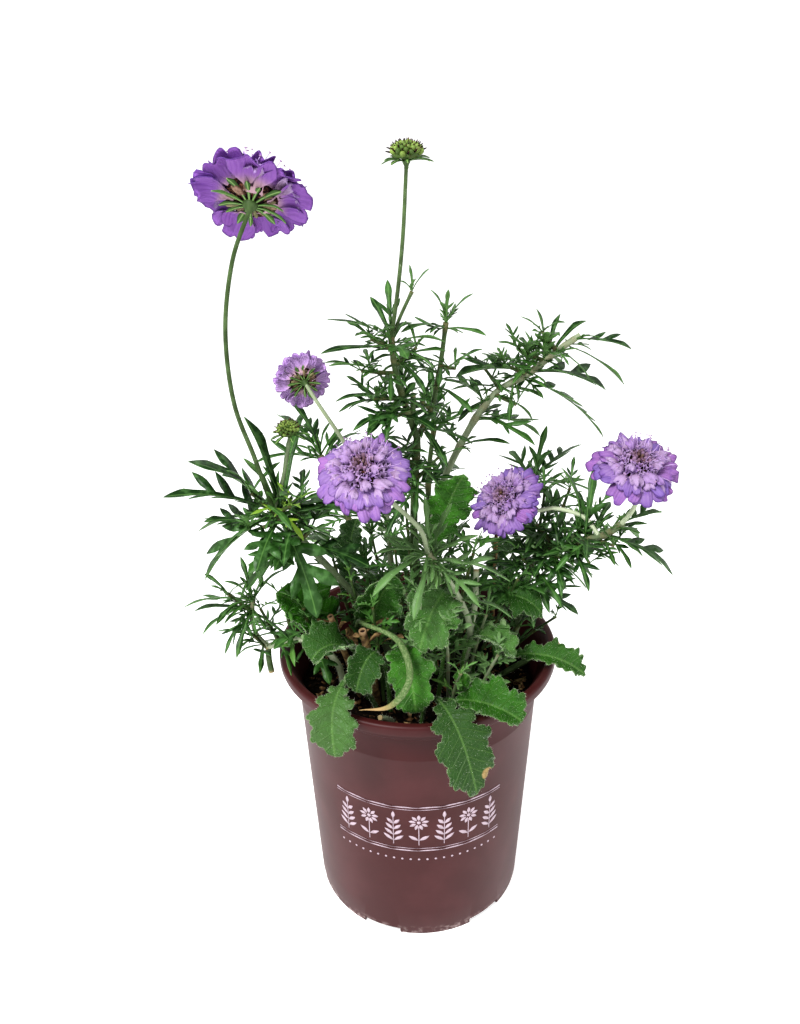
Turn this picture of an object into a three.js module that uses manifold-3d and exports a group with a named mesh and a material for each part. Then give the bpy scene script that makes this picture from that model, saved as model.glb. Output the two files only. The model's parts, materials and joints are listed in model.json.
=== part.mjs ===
// A butterfly blue scabious in bloom, in a round nursery pot. Millimetres, +Z up.
// The origin is the middle of the pot's base, and the front of the plant faces -Y.
// Directions of leaves are an azimuth, anticlockwise from +X seen from above, and a rise above level.
import * as THREE from 'three';
import { mergeVertices } from 'three/addons/utils/BufferGeometryUtils.js';
import Module from 'manifold-3d';

const wasm = await Module();
wasm.setup();

// Pot, a thin moulded cone with a shoulder and a rolled lip
const POT_SIDES = 24;
const POT_HEIGHT = 178;
const BASE_RADIUS = 66.5;
const FOOT_BEVEL = [0.8, 1.2];
const WALL = 1.4;
const WALL_TOP = 161.5;
const WALL_TOP_RADIUS = 73.7;
const SHOULDER = [[0.9, 162.5], [1.4, 168]];
const LIP_RADIUS = 83.7;
const LIP_HEIGHT = 6.5;
const LIP_BAND = 4.8;
const LIP_ROUND = 2;
const LIP_DIP = 1;
const FLOOR = 2.2;
const NOTCH_COUNT = 6;
const NOTCH_WIDTH = 24;
const NOTCH_HEIGHT = 4;
const NOTCH_DEPTH = 12;
const FIRST_NOTCH = 249;

// Soil, a full plug of bark compost
const SOIL_TOP = 148;
const SOIL_CROWN = 5;
const SOIL_WAVES = [1.3, 1.1];
const SOIL_RINGS = [50, 25];
const ROOT_DEPTH = 9;
const HOLE_CLEARANCE = 0.4;

// Clearances, thicknesses and steps
const GAP = 0.35;
const LEAF_THICKNESS = 0.7;
const PETAL_THICKNESS = 0.7;
const LEAF_ARCH = 0.16;
const LEAF_HEEL = 0.14;
const PETIOLE_RADII = [1.3, 1];
const TUBE_STEP = 28;
const STEM_SIDES = 4;

// Colours, in sRGB
const COLOURS = {
  pot: 0x5d3136,
  soil: 0x2c221d,
  stem: 0x4d7a3c,
  leaf: 0x3f7f35,
  petal: 0x9a78d6,
  bud: 0x7d9a4a,
  dry: 0x9c7f5a,
};

const UP = new THREE.Vector3(0, 0, 1);
const radians = THREE.MathUtils.degToRad;
const vector = ([x, y, z]) => new THREE.Vector3(x, y, z);

// Outlines of blades. Each rung is [distance along, half width], in parts of the blade's length, and a rung
// with two more numbers carries a lobe on each side, whose tip is at that distance and half width.
const OUTLINES = {
  lance: [[0, 0.016], [0.6, 0.06], [1, 0]],
  sprig: [[0, 0.018], [0.3, 0.035, 0.54, 0.21], [0.48, 0.05], [1, 0]],
  fine: [[0, 0.013], [0.24, 0.028, 0.46, 0.22], [0.42, 0.04, 0.76, 0.25], [0.62, 0.045], [1, 0]],
  feather: [
    [0, 0.01], [0.2, 0.022, 0.36, 0.18], [0.36, 0.032, 0.58, 0.24], [0.54, 0.04, 0.82, 0.2],
    [0.7, 0.04], [1, 0],
  ],
  lobed: [[0, 0.012], [0.28, 0.04, 0.5, 0.25], [0.5, 0.1, 0.78, 0.27], [0.76, 0.13], [1, 0]],
  lyrate: [
    [0, 0.05], [0.14, 0.05, 0.24, 0.24], [0.32, 0.1, 0.44, 0.37], [0.54, 0.2, 0.68, 0.44],
    [0.78, 0.22, 0.9, 0.29], [1, 0.07],
  ],
  spoon: [[0, 0.05], [0.2, 0.12, 0.32, 0.32], [0.43, 0.24, 0.58, 0.4], [0.7, 0.25, 0.85, 0.33], [1, 0.08]],
  ray: [[0, 0.3], [0.48, 0.35, 0.8, 0.51], [0.8, 0.26], [1, 0.23]],
  floret: [[0, 0.3], [0.78, 0.49], [1, 0.2]],
  bract: [[0, 0.2], [1, 0]],
};

// Turns and tilts that a leaf tries in this order, in degrees, until it stands clear of its neighbours
const TRIES = [
  [0, 0], [10, 0], [-10, 0], [0, 10], [0, -10], [20, 0], [-20, 0], [10, 14], [-10, 14], [14, -14], [-14, -14],
  [30, 0], [-30, 0], [0, 24], [24, 20], [-24, 20], [0, -24], [42, 8], [-42, 8], [36, -20], [-36, -20],
];

// Basal leaves, each with its own petiole: root on the soil, bend of the petiole, foot of the blade, crest
// of the blade and tip, then the blade's full width, its outline and the way that its face looks
const BASAL_LEAVES = {
  leaf_over_front_left: [[-24, -30, 148], [-34, -48, 186], [-39, -62, 193], [-48, -86, 194], [-43, -95, 169],
    30, 'spoon', [0.2, -0.6, 0.75]],
  leaf_left_curled: [[-30, -22, 148], [-30, -30, 184], [-37, -42, 200], [-50, -52, 214], [-57, -58, 203],
    26, 'spoon', [-0.3, -0.5, 0.8]],
  leaf_left_low: [[-16, -34, 148], [-18, -40, 186], [-23, -50, 203], [-30, -60, 206], [-33, -66, 188],
    20, 'spoon', [0.2, -0.7, 0.6]],
  leaf_front_toothed: [[-8, -28, 148], [-10, -36, 188], [-9, -42, 200], [-4, -62, 207], [-1, -70, 177],
    25, 'spoon', [0, -0.8, 0.6]],
  leaf_dark_broad: [[-20, -12, 148], [-24, -16, 184], [-26, -20, 200], [-24, -28, 222], [-12, -34, 242],
    27, 'spoon', [0.1, -0.9, 0.45]],
  leaf_bright_left: [[-36, -6, 148], [-38, -8, 176], [-48, -14, 192], [-60, -20, 214], [-78, -32, 230],
    34, 'spoon', [0.2, -0.7, 0.7]],
  leaf_upright_crenate: [[-30, 10, 148], [-34, 8, 184], [-38, 10, 204], [-44, 10, 230], [-34, 8, 256],
    20, 'spoon', [-0.5, -0.6, 0.2]],
  leaf_front_lobed: [[12, -24, 148], [16, -26, 190], [18, -36, 232], [10, -50, 243], [1, -62, 212],
    30, 'lyrate', [0.1, -0.8, 0.6]],
  leaf_round_front: [[12, -44, 148], [14, -48, 168], [21, -58, 176], [38, -74, 190], [55, -80, 179],
    24, 'spoon', [0.1, -0.5, 0.85]],
  leaf_over_front: [[2, -44, 148], [5, -50, 170], [10, -64, 182], [22, -90, 190], [31, -95, 143],
    32, 'lyrate', [0.1, -0.8, 0.55]],
  leaf_over_right: [[34, -22, 148], [36, -24, 170], [45, -26, 181], [74, -34, 197], [96, -37, 177],
    15, 'lyrate', [0, -0.4, 0.9]],
  leaf_bright_upright: [[12, -2, 148], [8, 0, 200], [9, 4, 228], [14, 4, 262], [27, 2, 286],
    26, 'lyrate', [0.1, -0.95, 0.3]],
  leaf_rim_right: [[34, -8, 148], [34, -8, 184], [38, -12, 208], [56, -20, 230], [71, -26, 211],
    24, 'lyrate', [0.2, -0.6, 0.8]],
  leaf_right_low: [[26, -34, 148], [26, -34, 186], [30, -36, 202], [42, -44, 214], [53, -52, 200],
    17, 'lyrate', [0.1, -0.5, 0.85]],
  leaf_small_front: [[26, -52, 148], [26, -50, 166], [24, -49, 175], [22, -54, 187], [28, -60, 194],
    11, 'spoon', [-0.2, -0.7, 0.6]],
  leaf_back_left: [[-30, 26, 148], [-36, 34, 182], [-44, 44, 200], [-66, 64, 222], [-84, 78, 202],
    32, 'lyrate', [0, 0.4, 0.9]],
  leaf_back_middle: [[-4, 38, 148], [-6, 46, 184], [-8, 56, 200], [-10, 80, 216], [-12, 98, 186],
    30, 'spoon', [0, 0.6, 0.8]],
  leaf_back_right: [[30, 28, 148], [38, 38, 180], [46, 46, 196], [66, 62, 216], [82, 76, 192],
    31, 'lyrate', [0.2, 0.5, 0.85]],
};

// Leafy stems. A branch has its path, its radii at both ends, and its leaves as [place along the branch,
// azimuth, rise, length, outline].
const STEMS = {
  left_stem: [
    {
      path: [[-14, -2, 148], [-24, -9, 195], [-47, -22, 238], [-74, -38, 283]],
      radii: [2.3, 1.8],
      leaves: [
        [1, 185, 12, 57, 'feather'], [0.98, 200, 42, 56, 'lobed'], [0.99, 212, -30, 50, 'lobed'],
        [0.95, 170, -8, 50, 'fine'], [0.97, 308, -56, 56, 'lobed'], [0.98, 235, -58, 36, 'lance'],
        [0.94, 28, -36, 42, 'fine'], [1, 28, -8, 42, 'lobed'], [0.96, 20, 35, 30, 'sprig'],
        [0.97, 150, 72, 56, 'lance'], [0.99, 225, 66, 40, 'lance'], [0.95, 75, 58, 55, 'lance'],
        [0.93, 110, 20, 36, 'fine'],
      ],
    },
    {
      path: [[-74, -38, 283], [-79, -50, 318], [-84, -61, 350], [-83, -69, 385], [-76, -75, 416],
        [-66, -79, 438]],
      radii: [1.2, 0.9],
      head: 'bloom_tall',
    },
    { path: [[-74, -38, 284], [-68, -35, 302], [-64, -31, 322]], radii: [1.1, 0.9], head: 'bud_small' },
  ],
  centre_stem: [
    {
      path: [[2, 8, 148], [-1, 9, 228], [-1, 10, 266], [1, 10, 305]],
      radii: [2.6, 2],
      leaves: [[0.96, 190, -12, 46, 'feather'], [0.93, 150, -22, 44, 'lobed']],
    },
    {
      path: [[1, 10, 304], [-5, 5, 325], [-10, 0, 345], [-12, -4, 366]],
      radii: [1.8, 1.4],
      leaves: [
        [0.97, 205, 22, 37, 'fine'], [0.88, 190, 0, 37, 'lance'], [0.95, 120, 40, 30, 'lance'],
        [1, 95, 50, 32, 'sprig'], [0.9, 285, 8, 30, 'lobed'], [0.94, 338, 8, 30, 'lance'],
        [0.8, 35, -18, 26, 'sprig'], [0.38, 182, 6, 38, 'fine'], [0.3, 222, -2, 38, 'fine'],
        [0.5, 70, 10, 34, 'fine'],
      ],
    },
    {
      path: [[-12, -4, 365], [-8, -10, 391], [-5, -15, 418], [-3, -19, 449]],
      radii: [1.1, 0.9],
      head: 'bud_tall',
    },
    {
      path: [[-12, -4, 364], [-7, -2, 376], [-1, 0, 388]],
      radii: [0.9, 0.9],
      leaves: [[1, 120, 78, 13, 'lance'], [1, 0, 50, 14, 'lance'], [1, 210, 45, 9, 'lance']],
    },
    { path: [[1, 10, 305], [-1, 8, 316], [-1, 6, 332]], radii: [1.6, 1.5] },
    {
      path: [[1, 10, 305], [9, 18, 318], [14, 22, 342], [17, 20, 367]],
      radii: [1.5, 1.2],
      leaves: [
        [0.99, 180, 68, 20, 'lance'], [1, 275, 62, 22, 'sprig'], [0.98, 0, 60, 22, 'sprig'],
        [0.95, 332, -4, 24, 'lance'], [0.96, 222, 6, 32, 'sprig'], [0.56, 215, 18, 26, 'sprig'],
        [0.52, 332, 2, 24, 'lance'], [0.46, 316, -20, 28, 'lance'], [0.1, 296, -26, 32, 'lance'],
        [0.08, 22, -24, 34, 'fine'],
      ],
    },
  ],
  woody_stem: [
    {
      path: [[20, 14, 148], [9, 26, 212], [14, 34, 258], [29, 38, 294], [46, 40, 320], [65, 42, 331],
        [81, 43, 344], [94, 44, 353]],
      radii: [2.7, 1.6],
      leaves: [
        [0.98, 338, -4, 33, 'lobed'], [0.96, 5, -35, 44, 'lance'], [0.86, 10, -14, 50, 'lobed'],
        [0.84, 352, -34, 60, 'feather'], [0.9, 190, 78, 31, 'lance'], [0.91, 60, 56, 28, 'lance'],
        [0.88, 225, 40, 36, 'fine'], [0.92, 40, 30, 34, 'lance'], [0.86, 200, 4, 46, 'lobed'],
        [0.87, 145, 4, 34, 'fine'], [0.9, 265, 55, 28, 'lobed'], [0.82, 255, -58, 24, 'lance'],
        [0.73, 130, 50, 20, 'lance'], [0.74, 190, 34, 30, 'lobed'], [0.7, 325, -14, 40, 'fine'],
        [0.69, 25, -18, 50, 'fine'], [0.62, 350, 8, 30, 'lance'],
        [0.62, 140, 30, 34, 'fine'],
      ],
    },
  ],
  right_stem: [
    {
      path: [[30, -4, 148], [45, -5, 162], [58, -2, 180], [64, 1, 206], [69, 0, 232], [83, -8, 245],
        [101, -24, 260], [109, -33, 272]],
      radii: [2.2, 1.6],
      leaves: [
        [0.8, 160, 78, 46, 'lance'], [0.83, 80, 66, 42, 'sprig'], [0.74, 140, 60, 40, 'lobed'],
        [0.86, 62, 16, 34, 'sprig'], [0.99, 25, 2, 27, 'lobed'], [0.95, 290, 22, 26, 'lance'],
        [0.91, 336, -20, 42, 'lobed'], [0.93, 45, -22, 36, 'sprig'], [0.84, 258, 12, 34, 'lobed'],
        [0.77, 282, -24, 33, 'fine'], [0.6, 325, -10, 28, 'lance'], [0.58, 275, -25, 32, 'lance'],
        [0.67, 130, 18, 30, 'fine'], [0.7, 242, -6, 32, 'fine'], [0.66, 30, 10, 28, 'sprig'],
      ],
    },
    { path: [[108, -32, 270], [113, -39, 286], [110, -42, 304]], radii: [1.3, 1.1], head: 'bloom_right' },
    {
      path: [[100, -23, 259], [92, -15, 267], [77, -12, 271], [64, -13, 270], [52, -15, 275]],
      radii: [1.2, 1.1],
      head: 'bloom_middle',
    },
  ],
  front_stem: [
    {
      path: [[22, -20, 148], [30, -30, 200], [22, -38, 232], [6, -46, 262]],
      radii: [1.9, 1.5],
      leaves: [
        [1, 215, -20, 38, 'lance'], [0.97, 250, -36, 36, 'lance'], [1, 200, 12, 30, 'fine'],
        [1, 95, 62, 30, 'sprig'], [0.96, 20, 22, 28, 'sprig'], [0.95, 340, -4, 42, 'fine'],
        [0.92, 310, -18, 34, 'fine'], [0.94, 160, 22, 32, 'sprig'], [0.98, 60, 40, 32, 'sprig'],
        [0.7, 330, 0, 32, 'lance'], [0.45, 5, 8, 28, 'fine'],
      ],
    },
    {
      path: [[6, -46, 262], [2, -54, 280], [-12, -63, 300], [-24, -69, 314]],
      radii: [1.3, 1.1],
      head: 'bloom_front',
    },
    { path: [[29, -29, 196], [33, -22, 214], [34, -14, 234]], radii: [1.7, 1.6] },
  ],
  small_bloom_stem: [
    {
      path: [[-14, 16, 148], [-16, 18, 205], [-18, 17, 256], [-38, 16, 296], [-54, 21, 321], [-62, 31, 330]],
      radii: [1.9, 1],
      leaves: [
        [0.5, 190, 20, 36, 'fine'], [0.5, 100, 20, 36, 'fine'], [0.62, 215, -6, 40, 'feather'],
        [0.62, 130, 10, 40, 'fine'], [0.3, 160, 22, 40, 'lobed'],
      ],
      head: 'bloom_small',
    },
  ],
  rim_shoot: [
    {
      path: [[-44, -22, 148], [-46, -24, 174], [-57, -24, 190], [-72, -22, 193], [-88, -23, 188]],
      radii: [2, 1.9],
    },
    { path: [[-87, -23, 188], [-87, -24, 180], [-86, -25, 172]], radii: [1.8, 1.8] },
    {
      path: [[-87, -23, 188], [-93, -28, 204], [-92, -30, 224]],
      radii: [1.3, 1],
      leaves: [
        [1, 188, 2, 38, 'fine'], [0.97, 215, 55, 24, 'lance'], [0.94, 212, -14, 32, 'lance'],
        [0.9, 225, -48, 30, 'fine'], [0.86, 255, -45, 30, 'sprig'], [1, 120, 60, 26, 'sprig'],
        [0.98, 45, 30, 26, 'sprig'],
      ],
    },
  ],
  back_left_stem: [
    {
      path: [[-16, 30, 148], [-30, 44, 198], [-46, 56, 240], [-60, 66, 272]],
      radii: [2.2, 1.5],
      leaves: [
        [1, 130, 20, 50, 'feather'], [0.98, 200, 8, 44, 'fine'], [0.97, 60, 10, 44, 'fine'],
        [1, 155, 60, 40, 'sprig'], [0.72, 90, -5, 44, 'lobed'], [0.7, 180, -5, 42, 'lobed'],
      ],
    },
  ],
  back_stem: [
    {
      path: [[10, 34, 148], [10, 48, 205], [8, 60, 255], [12, 70, 290]],
      radii: [2.2, 1.4],
      leaves: [
        [1, 90, 15, 46, 'feather'], [0.98, 20, 15, 40, 'fine'], [0.97, 160, 15, 42, 'fine'],
        [1, 100, 65, 38, 'sprig'], [0.76, 60, -5, 42, 'lobed'], [0.74, 135, -5, 42, 'lobed'],
      ],
    },
  ],
  back_right_stem: [
    {
      path: [[26, 38, 148], [44, 50, 192], [60, 58, 228], [76, 66, 254]],
      radii: [2.1, 1.5],
      leaves: [
        [1, 40, 15, 46, 'feather'], [0.98, 330, 5, 42, 'fine'], [0.97, 105, 10, 44, 'fine'],
        [1, 60, 62, 36, 'sprig'], [0.72, 0, -10, 40, 'lobed'], [0.7, 90, -8, 40, 'lobed'],
      ],
    },
  ],
  cut_stem_right: [
    { path: [[40, -16, 148], [48, -16, 160], [64, -16, 172], [83, -17, 186]], radii: [2, 1.8] },
  ],
  cut_stem_front: [{ path: [[-14, -44, 148], [-17, -54, 160], [-21, -60, 166]], radii: [1.6, 1.5] }],
  dry_stem: [
    {
      path: [[-40, 6, 148], [-36, -4, 190], [-28, -40, 214], [-10, -56, 214], [-4, -76, 205], [-14, -80, 190],
        [-31, -76, 184]],
      radii: [1.6, 1.1],
    },
  ],
};

// Heads: azimuth and rise of the way that the head faces, its outer radius, and the height of the ray tips
// over the receptacle, in parts of the radius
const BLOOMS = {
  bloom_tall: { azimuth: 82, rise: 44, radius: 25.5, tip: 0.16 },
  bloom_front: { azimuth: 262, rise: 60, radius: 23.5, tip: -0.12 },
  bloom_middle: { azimuth: 222, rise: 46, radius: 21.5, tip: -0.1 },
  bloom_right: { azimuth: 275, rise: 64, radius: 22.5, tip: -0.06 },
  bloom_small: { azimuth: 116, rise: 12, radius: 17.5, tip: 0.2 },
};
const BUDS = {
  bud_tall: { azimuth: 270, rise: 86, radius: 14.9 },
  bud_small: { azimuth: 250, rise: 74, radius: 11.4 },
};
const FLORET_COUNT = 10;
const BEAD_COUNT = 7;
const DOME_SIDES = 6;
const GOLDEN_ANGLE = radians(137.5);

// Sizes in a head, in parts of its radius. Florets stand on a dome, a low half ellipsoid.
const DOME = { radius: 0.43, foot: 0.13, height: 0.32, base: 0.3, shoulder: 0.72, spread: 0.95 };
const CUP = { reach: 0.1, height: 0.09, depth: 0.04, root: 0.09 };
const BEAD_RADIUS = 0.14;

// Rings of petals and bracts, with their hub, crest and tip as [reach, height] in parts of the radius. A
// bloom's own tip height is added to that of its rings, and every second tip is lifted.
const RAY_RING = {
  count: 8, turn: 0, hub: [0.46, 0.15], crest: [0.7, 0.3], tip: [1, 0], lift: 0.03, outline: 'ray',
};
const FLORET_RING = {
  count: 8, turn: 0.5, hub: [0.42, 0.27], crest: [0.62, 0.42], tip: [0.84, 0.24], lift: 0.03,
  outline: 'floret',
};
const BRACT_RING = {
  count: 7, turn: 0, hub: [0.22, 0], crest: [0.4, 0.01], tip: [0.66, -0.05], lift: 0, outline: 'bract',
};

// The receptacle under a head: depths in millimetres, radii in parts of the head's radius
const RECEPTACLE = { sides: 5, depth: 3.2, edge: 3, top: 0.4, foot: 0.12, shoulder: 0.24 };
const HEAD_LIFT = 2;

// A closed geometry as a solid, with its doubled vertices merged
function solidOf(geometry) {
  const bare = geometry.clone();
  bare.deleteAttribute('normal');
  bare.deleteAttribute('uv');
  const merged = mergeVertices(bare, 1e-4);
  return new wasm.Manifold(new wasm.Mesh({
    numProp: 3,
    vertProperties: new Float32Array(merged.attributes.position.array),
    triVerts: new Uint32Array(merged.index.array),
  }));
}

function solidFrom(points, triangles) {
  return new wasm.Manifold(new wasm.Mesh({
    numProp: 3,
    vertProperties: new Float32Array(points.flatMap((point) => point.toArray())),
    triVerts: new Uint32Array(triangles.flat()),
  }));
}

function geometryOf(solid) {
  const { vertProperties, triVerts } = solid.getMesh();
  const geometry = new THREE.BufferGeometry();
  geometry.setAttribute('position', new THREE.BufferAttribute(vertProperties, 3));
  geometry.setIndex(new THREE.BufferAttribute(triVerts, 1));
  geometry.computeVertexNormals();
  return geometry;
}

function direction(azimuth, rise) {
  const level = Math.cos(radians(rise));
  return new THREE.Vector3(
    level * Math.cos(radians(azimuth)),
    level * Math.sin(radians(azimuth)),
    Math.sin(radians(rise)),
  );
}

// A tapered tube along a curve, with closed ends
function tube(curve, startRadius, endRadius) {
  const steps = Math.max(3, Math.round(curve.getLength() / TUBE_STEP));
  const frames = curve.computeFrenetFrames(steps, false);
  const points = [curve.getPointAt(0)];
  const triangles = [];
  for (let row = 0; row <= steps; row++) {
    const centre = curve.getPointAt(row / steps);
    const radius = THREE.MathUtils.lerp(startRadius, endRadius, row / steps);
    for (let side = 0; side < STEM_SIDES; side++) {
      const angle = (2 * Math.PI * side) / STEM_SIDES;
      points.push(centre.clone()
        .addScaledVector(frames.normals[row], radius * Math.cos(angle))
        .addScaledVector(frames.binormals[row], radius * Math.sin(angle)));
    }
  }
  points.push(curve.getPointAt(1));
  const ring = (row, side) => 1 + row * STEM_SIDES + (side % STEM_SIDES);
  for (let side = 0; side < STEM_SIDES; side++) {
    triangles.push([0, ring(0, side + 1), ring(0, side)]);
    triangles.push([points.length - 1, ring(steps, side), ring(steps, side + 1)]);
    for (let row = 0; row < steps; row++) {
      triangles.push([ring(row, side), ring(row, side + 1), ring(row + 1, side + 1)]);
      triangles.push([ring(row, side), ring(row + 1, side + 1), ring(row + 1, side)]);
    }
  }
  return solidFrom(points, triangles);
}

// The flat pattern of a blade: points as [along, across], the first two at its root, and triangles that turn
// anticlockwise
function bladePattern(rungs) {
  const points = [];
  const triangles = [];
  const add = (along, across) => points.push([along, across]) - 1;
  const edges = rungs.map(([along, half]) => {
    const left = add(along, half);
    return { left, right: half === 0 ? left : add(along, -half) };
  });
  for (let k = 0; k < rungs.length - 1; k++) {
    const [here, next] = [edges[k], edges[k + 1]];
    triangles.push([here.right, next.right, here.left]);
    if (next.left !== next.right) triangles.push([here.left, next.right, next.left]);
    const [, , lobeAlong, lobeHalf] = rungs[k];
    if (lobeHalf) {
      triangles.push([here.left, next.left, add(lobeAlong, lobeHalf)]);
      triangles.push([next.right, here.right, add(lobeAlong, -lobeHalf)]);
    }
  }
  return { points, triangles };
}

// A thin plate between two faces that share one pattern of triangles, closed along its open edges
function plateSolid(upper, lower, pattern) {
  const count = upper.length;
  const triangles = [...pattern, ...pattern.map(([a, b, c]) => [a + count, c + count, b + count])];
  const edges = new Set(pattern.flatMap(([a, b, c]) => [`${a},${b}`, `${b},${c}`, `${c},${a}`]));
  for (const edge of edges) {
    const [a, b] = edge.split(',').map(Number);
    if (!edges.has(`${b},${a}`)) triangles.push([a, a + count, b + count], [a, b + count, b]);
  }
  return solidFrom([...upper, ...lower], triangles);
}

// Both faces of a blade of even thickness along a curve: width is its scale across, and across is its
// sideways direction
function bladeFaces(curve, across, width, points, thickness) {
  return [1, -1].map((side) => points.map(([along, offset]) => {
    const normal = curve.getTangent(along).cross(across).normalize();
    return curve.getPoint(along)
      .addScaledVector(across, offset * width)
      .addScaledVector(normal, (side * thickness) / 2);
  }));
}

function blade(curve, across, width, rungs, thickness) {
  const { points, triangles } = bladePattern(rungs);
  const [upper, lower] = bladeFaces(curve, across, width, points, thickness);
  return plateSolid(upper, lower, triangles);
}

// A leaf of a stem: it rises from its root with a low arch, its face turned to the sky. Its outer part is
// the blade beyond its heel, which keeps clear of the stem's other leaves.
function stemLeaf(root, azimuth, rise, length, outline) {
  const ahead = direction(azimuth, rise);
  const across = new THREE.Vector3().crossVectors(UP, ahead).normalize();
  const face = new THREE.Vector3().crossVectors(ahead, across);
  const middle = root.clone().addScaledVector(ahead, length / 2).addScaledVector(face, length * LEAF_ARCH);
  const curve = new THREE.QuadraticBezierCurve3(root, middle, root.clone().addScaledVector(ahead, length));
  const rungs = OUTLINES[outline];
  return {
    solid: blade(curve, across, length, rungs, LEAF_THICKNESS),
    outer: blade(curve, across, length, [[LEAF_HEEL, rungs[0][1]], ...rungs.slice(1)], LEAF_THICKNESS),
  };
}

function inReach(box, other, margin) {
  return [0, 1, 2].every((axis) => box.min[axis] < other.max[axis] + margin
    && other.min[axis] < box.max[axis] + margin);
}

// The solids of the whole object, by node, which tell whether a new solid stands clear of the others
class Crowd {
  constructor() {
    this.solids = [];
  }

  add(node, solid, outer = null) {
    this.solids.push({ node, solid, outer, box: solid.boundingBox() });
  }

  // Clear of every other node by the gap, and of the outer blades of its own node
  isClear(node, solid, outer) {
    const box = solid.boundingBox();
    return this.solids.every((other) => {
      if (!inReach(box, other.box, GAP)) return true;
      if (other.node !== node) return solid.minGap(other.solid, GAP * 2) > GAP;
      return !other.outer || (outer.minGap(other.solid, GAP) > 0 && solid.minGap(other.outer, GAP) > 0);
    });
  }

  joined(node) {
    const own = this.solids.filter((entry) => entry.node === node);
    return wasm.Manifold.union(own.map((entry) => entry.solid));
  }
}

function turned(profile, sides) {
  return new THREE.LatheGeometry(profile.map(([radius, height]) => new THREE.Vector2(radius, height)), sides)
    .rotateX(Math.PI / 2);
}

// The inside of the pot's wall, at a height
function wallInside(height) {
  return THREE.MathUtils.lerp(BASE_RADIUS, WALL_TOP_RADIUS, height / WALL_TOP) - WALL;
}

// Up the outside of the pot, over the rolled lip and down the inside, with drain notches cut in the foot
function potSolid() {
  const shoulder = SHOULDER.map(([out, height]) => [WALL_TOP_RADIUS + out, height]);
  const lipInside = LIP_RADIUS - LIP_BAND;
  const profile = [
    [0, 0], [BASE_RADIUS - FOOT_BEVEL[0], 0], [BASE_RADIUS, FOOT_BEVEL[1]],
    [WALL_TOP_RADIUS, WALL_TOP], ...shoulder,
    [lipInside, POT_HEIGHT - LIP_HEIGHT], [LIP_RADIUS, POT_HEIGHT - LIP_HEIGHT],
    [LIP_RADIUS, POT_HEIGHT - LIP_ROUND], [LIP_RADIUS - LIP_ROUND, POT_HEIGHT],
    [lipInside, POT_HEIGHT - LIP_DIP],
    [WALL_TOP_RADIUS, SHOULDER[1][1]], [wallInside(FLOOR), FLOOR], [0, FLOOR],
  ];
  let pot = solidOf(turned(profile, POT_SIDES));
  for (let k = 0; k < NOTCH_COUNT; k++) {
    const notch = new THREE.BoxGeometry(NOTCH_DEPTH, NOTCH_WIDTH, NOTCH_HEIGHT * 2);
    notch.translate(BASE_RADIUS, 0, 0).rotateZ(radians(FIRST_NOTCH + (360 * k) / NOTCH_COUNT));
    pot = pot.subtract(solidOf(notch));
  }
  return pot;
}

// The height of the soil's rough top, which rises to its crown
function soilHeight(x, y) {
  const crown = SOIL_CROWN * (1 - Math.hypot(x, y) / WALL_TOP_RADIUS);
  const wave = SOIL_WAVES[0] * Math.sin(x * 0.31 + 1.7 * Math.sin(y * 0.17));
  const ripple = SOIL_WAVES[1] * Math.sin(y * 0.37 + x * 0.11);
  return SOIL_TOP + crown + wave + ripple;
}

// The soil fills the pot to below the lip
function soilSolid() {
  const foot = FLOOR + GAP;
  const edge = wallInside(SOIL_TOP) - 2 * GAP;
  const rings = [edge, ...SOIL_RINGS, 0].map((radius) => [radius, SOIL_TOP]);
  const geometry = turned([[0, foot], [wallInside(foot) - 2 * GAP, foot], ...rings], POT_SIDES);
  const position = geometry.attributes.position;
  for (let k = 0; k < position.count; k++) {
    if (position.getZ(k) > SOIL_TOP - 1) position.setZ(k, soilHeight(position.getX(k), position.getY(k)));
  }
  return solidOf(geometry);
}

// A place on the dome, by its share of the dome's area from the middle out, with its outward normal
function domePoint(share, turn, radius) {
  const reach = DOME.radius * DOME.spread * Math.sqrt(share);
  const rise = DOME.height * Math.sqrt(1 - (reach / DOME.radius) ** 2);
  const point = new THREE.Vector3(Math.cos(turn) * reach, Math.sin(turn) * reach, DOME.foot + rise);
  const normal = new THREE.Vector3(
    (Math.cos(turn) * reach) / DOME.radius ** 2,
    (Math.sin(turn) * reach) / DOME.radius ** 2,
    rise / DOME.height ** 2,
  ).normalize();
  return { point: point.multiplyScalar(radius), normal };
}

function domeSolid(radius) {
  const shoulderHeight = DOME.foot + DOME.height * Math.sqrt(1 - DOME.shoulder ** 2);
  const profile = [
    [0, GAP],
    [DOME.base * radius, GAP],
    [DOME.radius * radius, DOME.foot * radius],
    [DOME.radius * DOME.shoulder * radius, shoulderHeight * radius],
    [0, (DOME.foot + DOME.height) * radius],
  ];
  return solidOf(turned(profile, DOME_SIDES));
}

// A small floret of the dome: a flared square cup, its foot sunk in the dome
function cupFloret(share, turn, radius) {
  const { point, normal } = domePoint(share, turn, radius);
  const lean = new THREE.Vector3(Math.cos(turn * 5), Math.sin(turn * 5), 0.4);
  const side = new THREE.Vector3().crossVectors(normal, lean).normalize();
  const other = new THREE.Vector3().crossVectors(normal, side);
  const at = (height, sideways = 0, upwards = 0) => point.clone()
    .addScaledVector(normal, height * radius)
    .addScaledVector(side, sideways * CUP.reach * radius)
    .addScaledVector(other, upwards * CUP.reach * radius);
  const rim = [[1, 0], [0, 1], [-1, 0], [0, -1]].map((corner) => at(CUP.height, ...corner));
  const points = [at(-CUP.root), at(CUP.height - CUP.depth), ...rim];
  const triangles = [];
  for (let k = 0; k < 4; k++) {
    const [here, next] = [2 + k, 2 + ((k + 1) % 4)];
    triangles.push([1, here, next], [0, next, here]);
  }
  return solidFrom(points, triangles);
}

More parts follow.
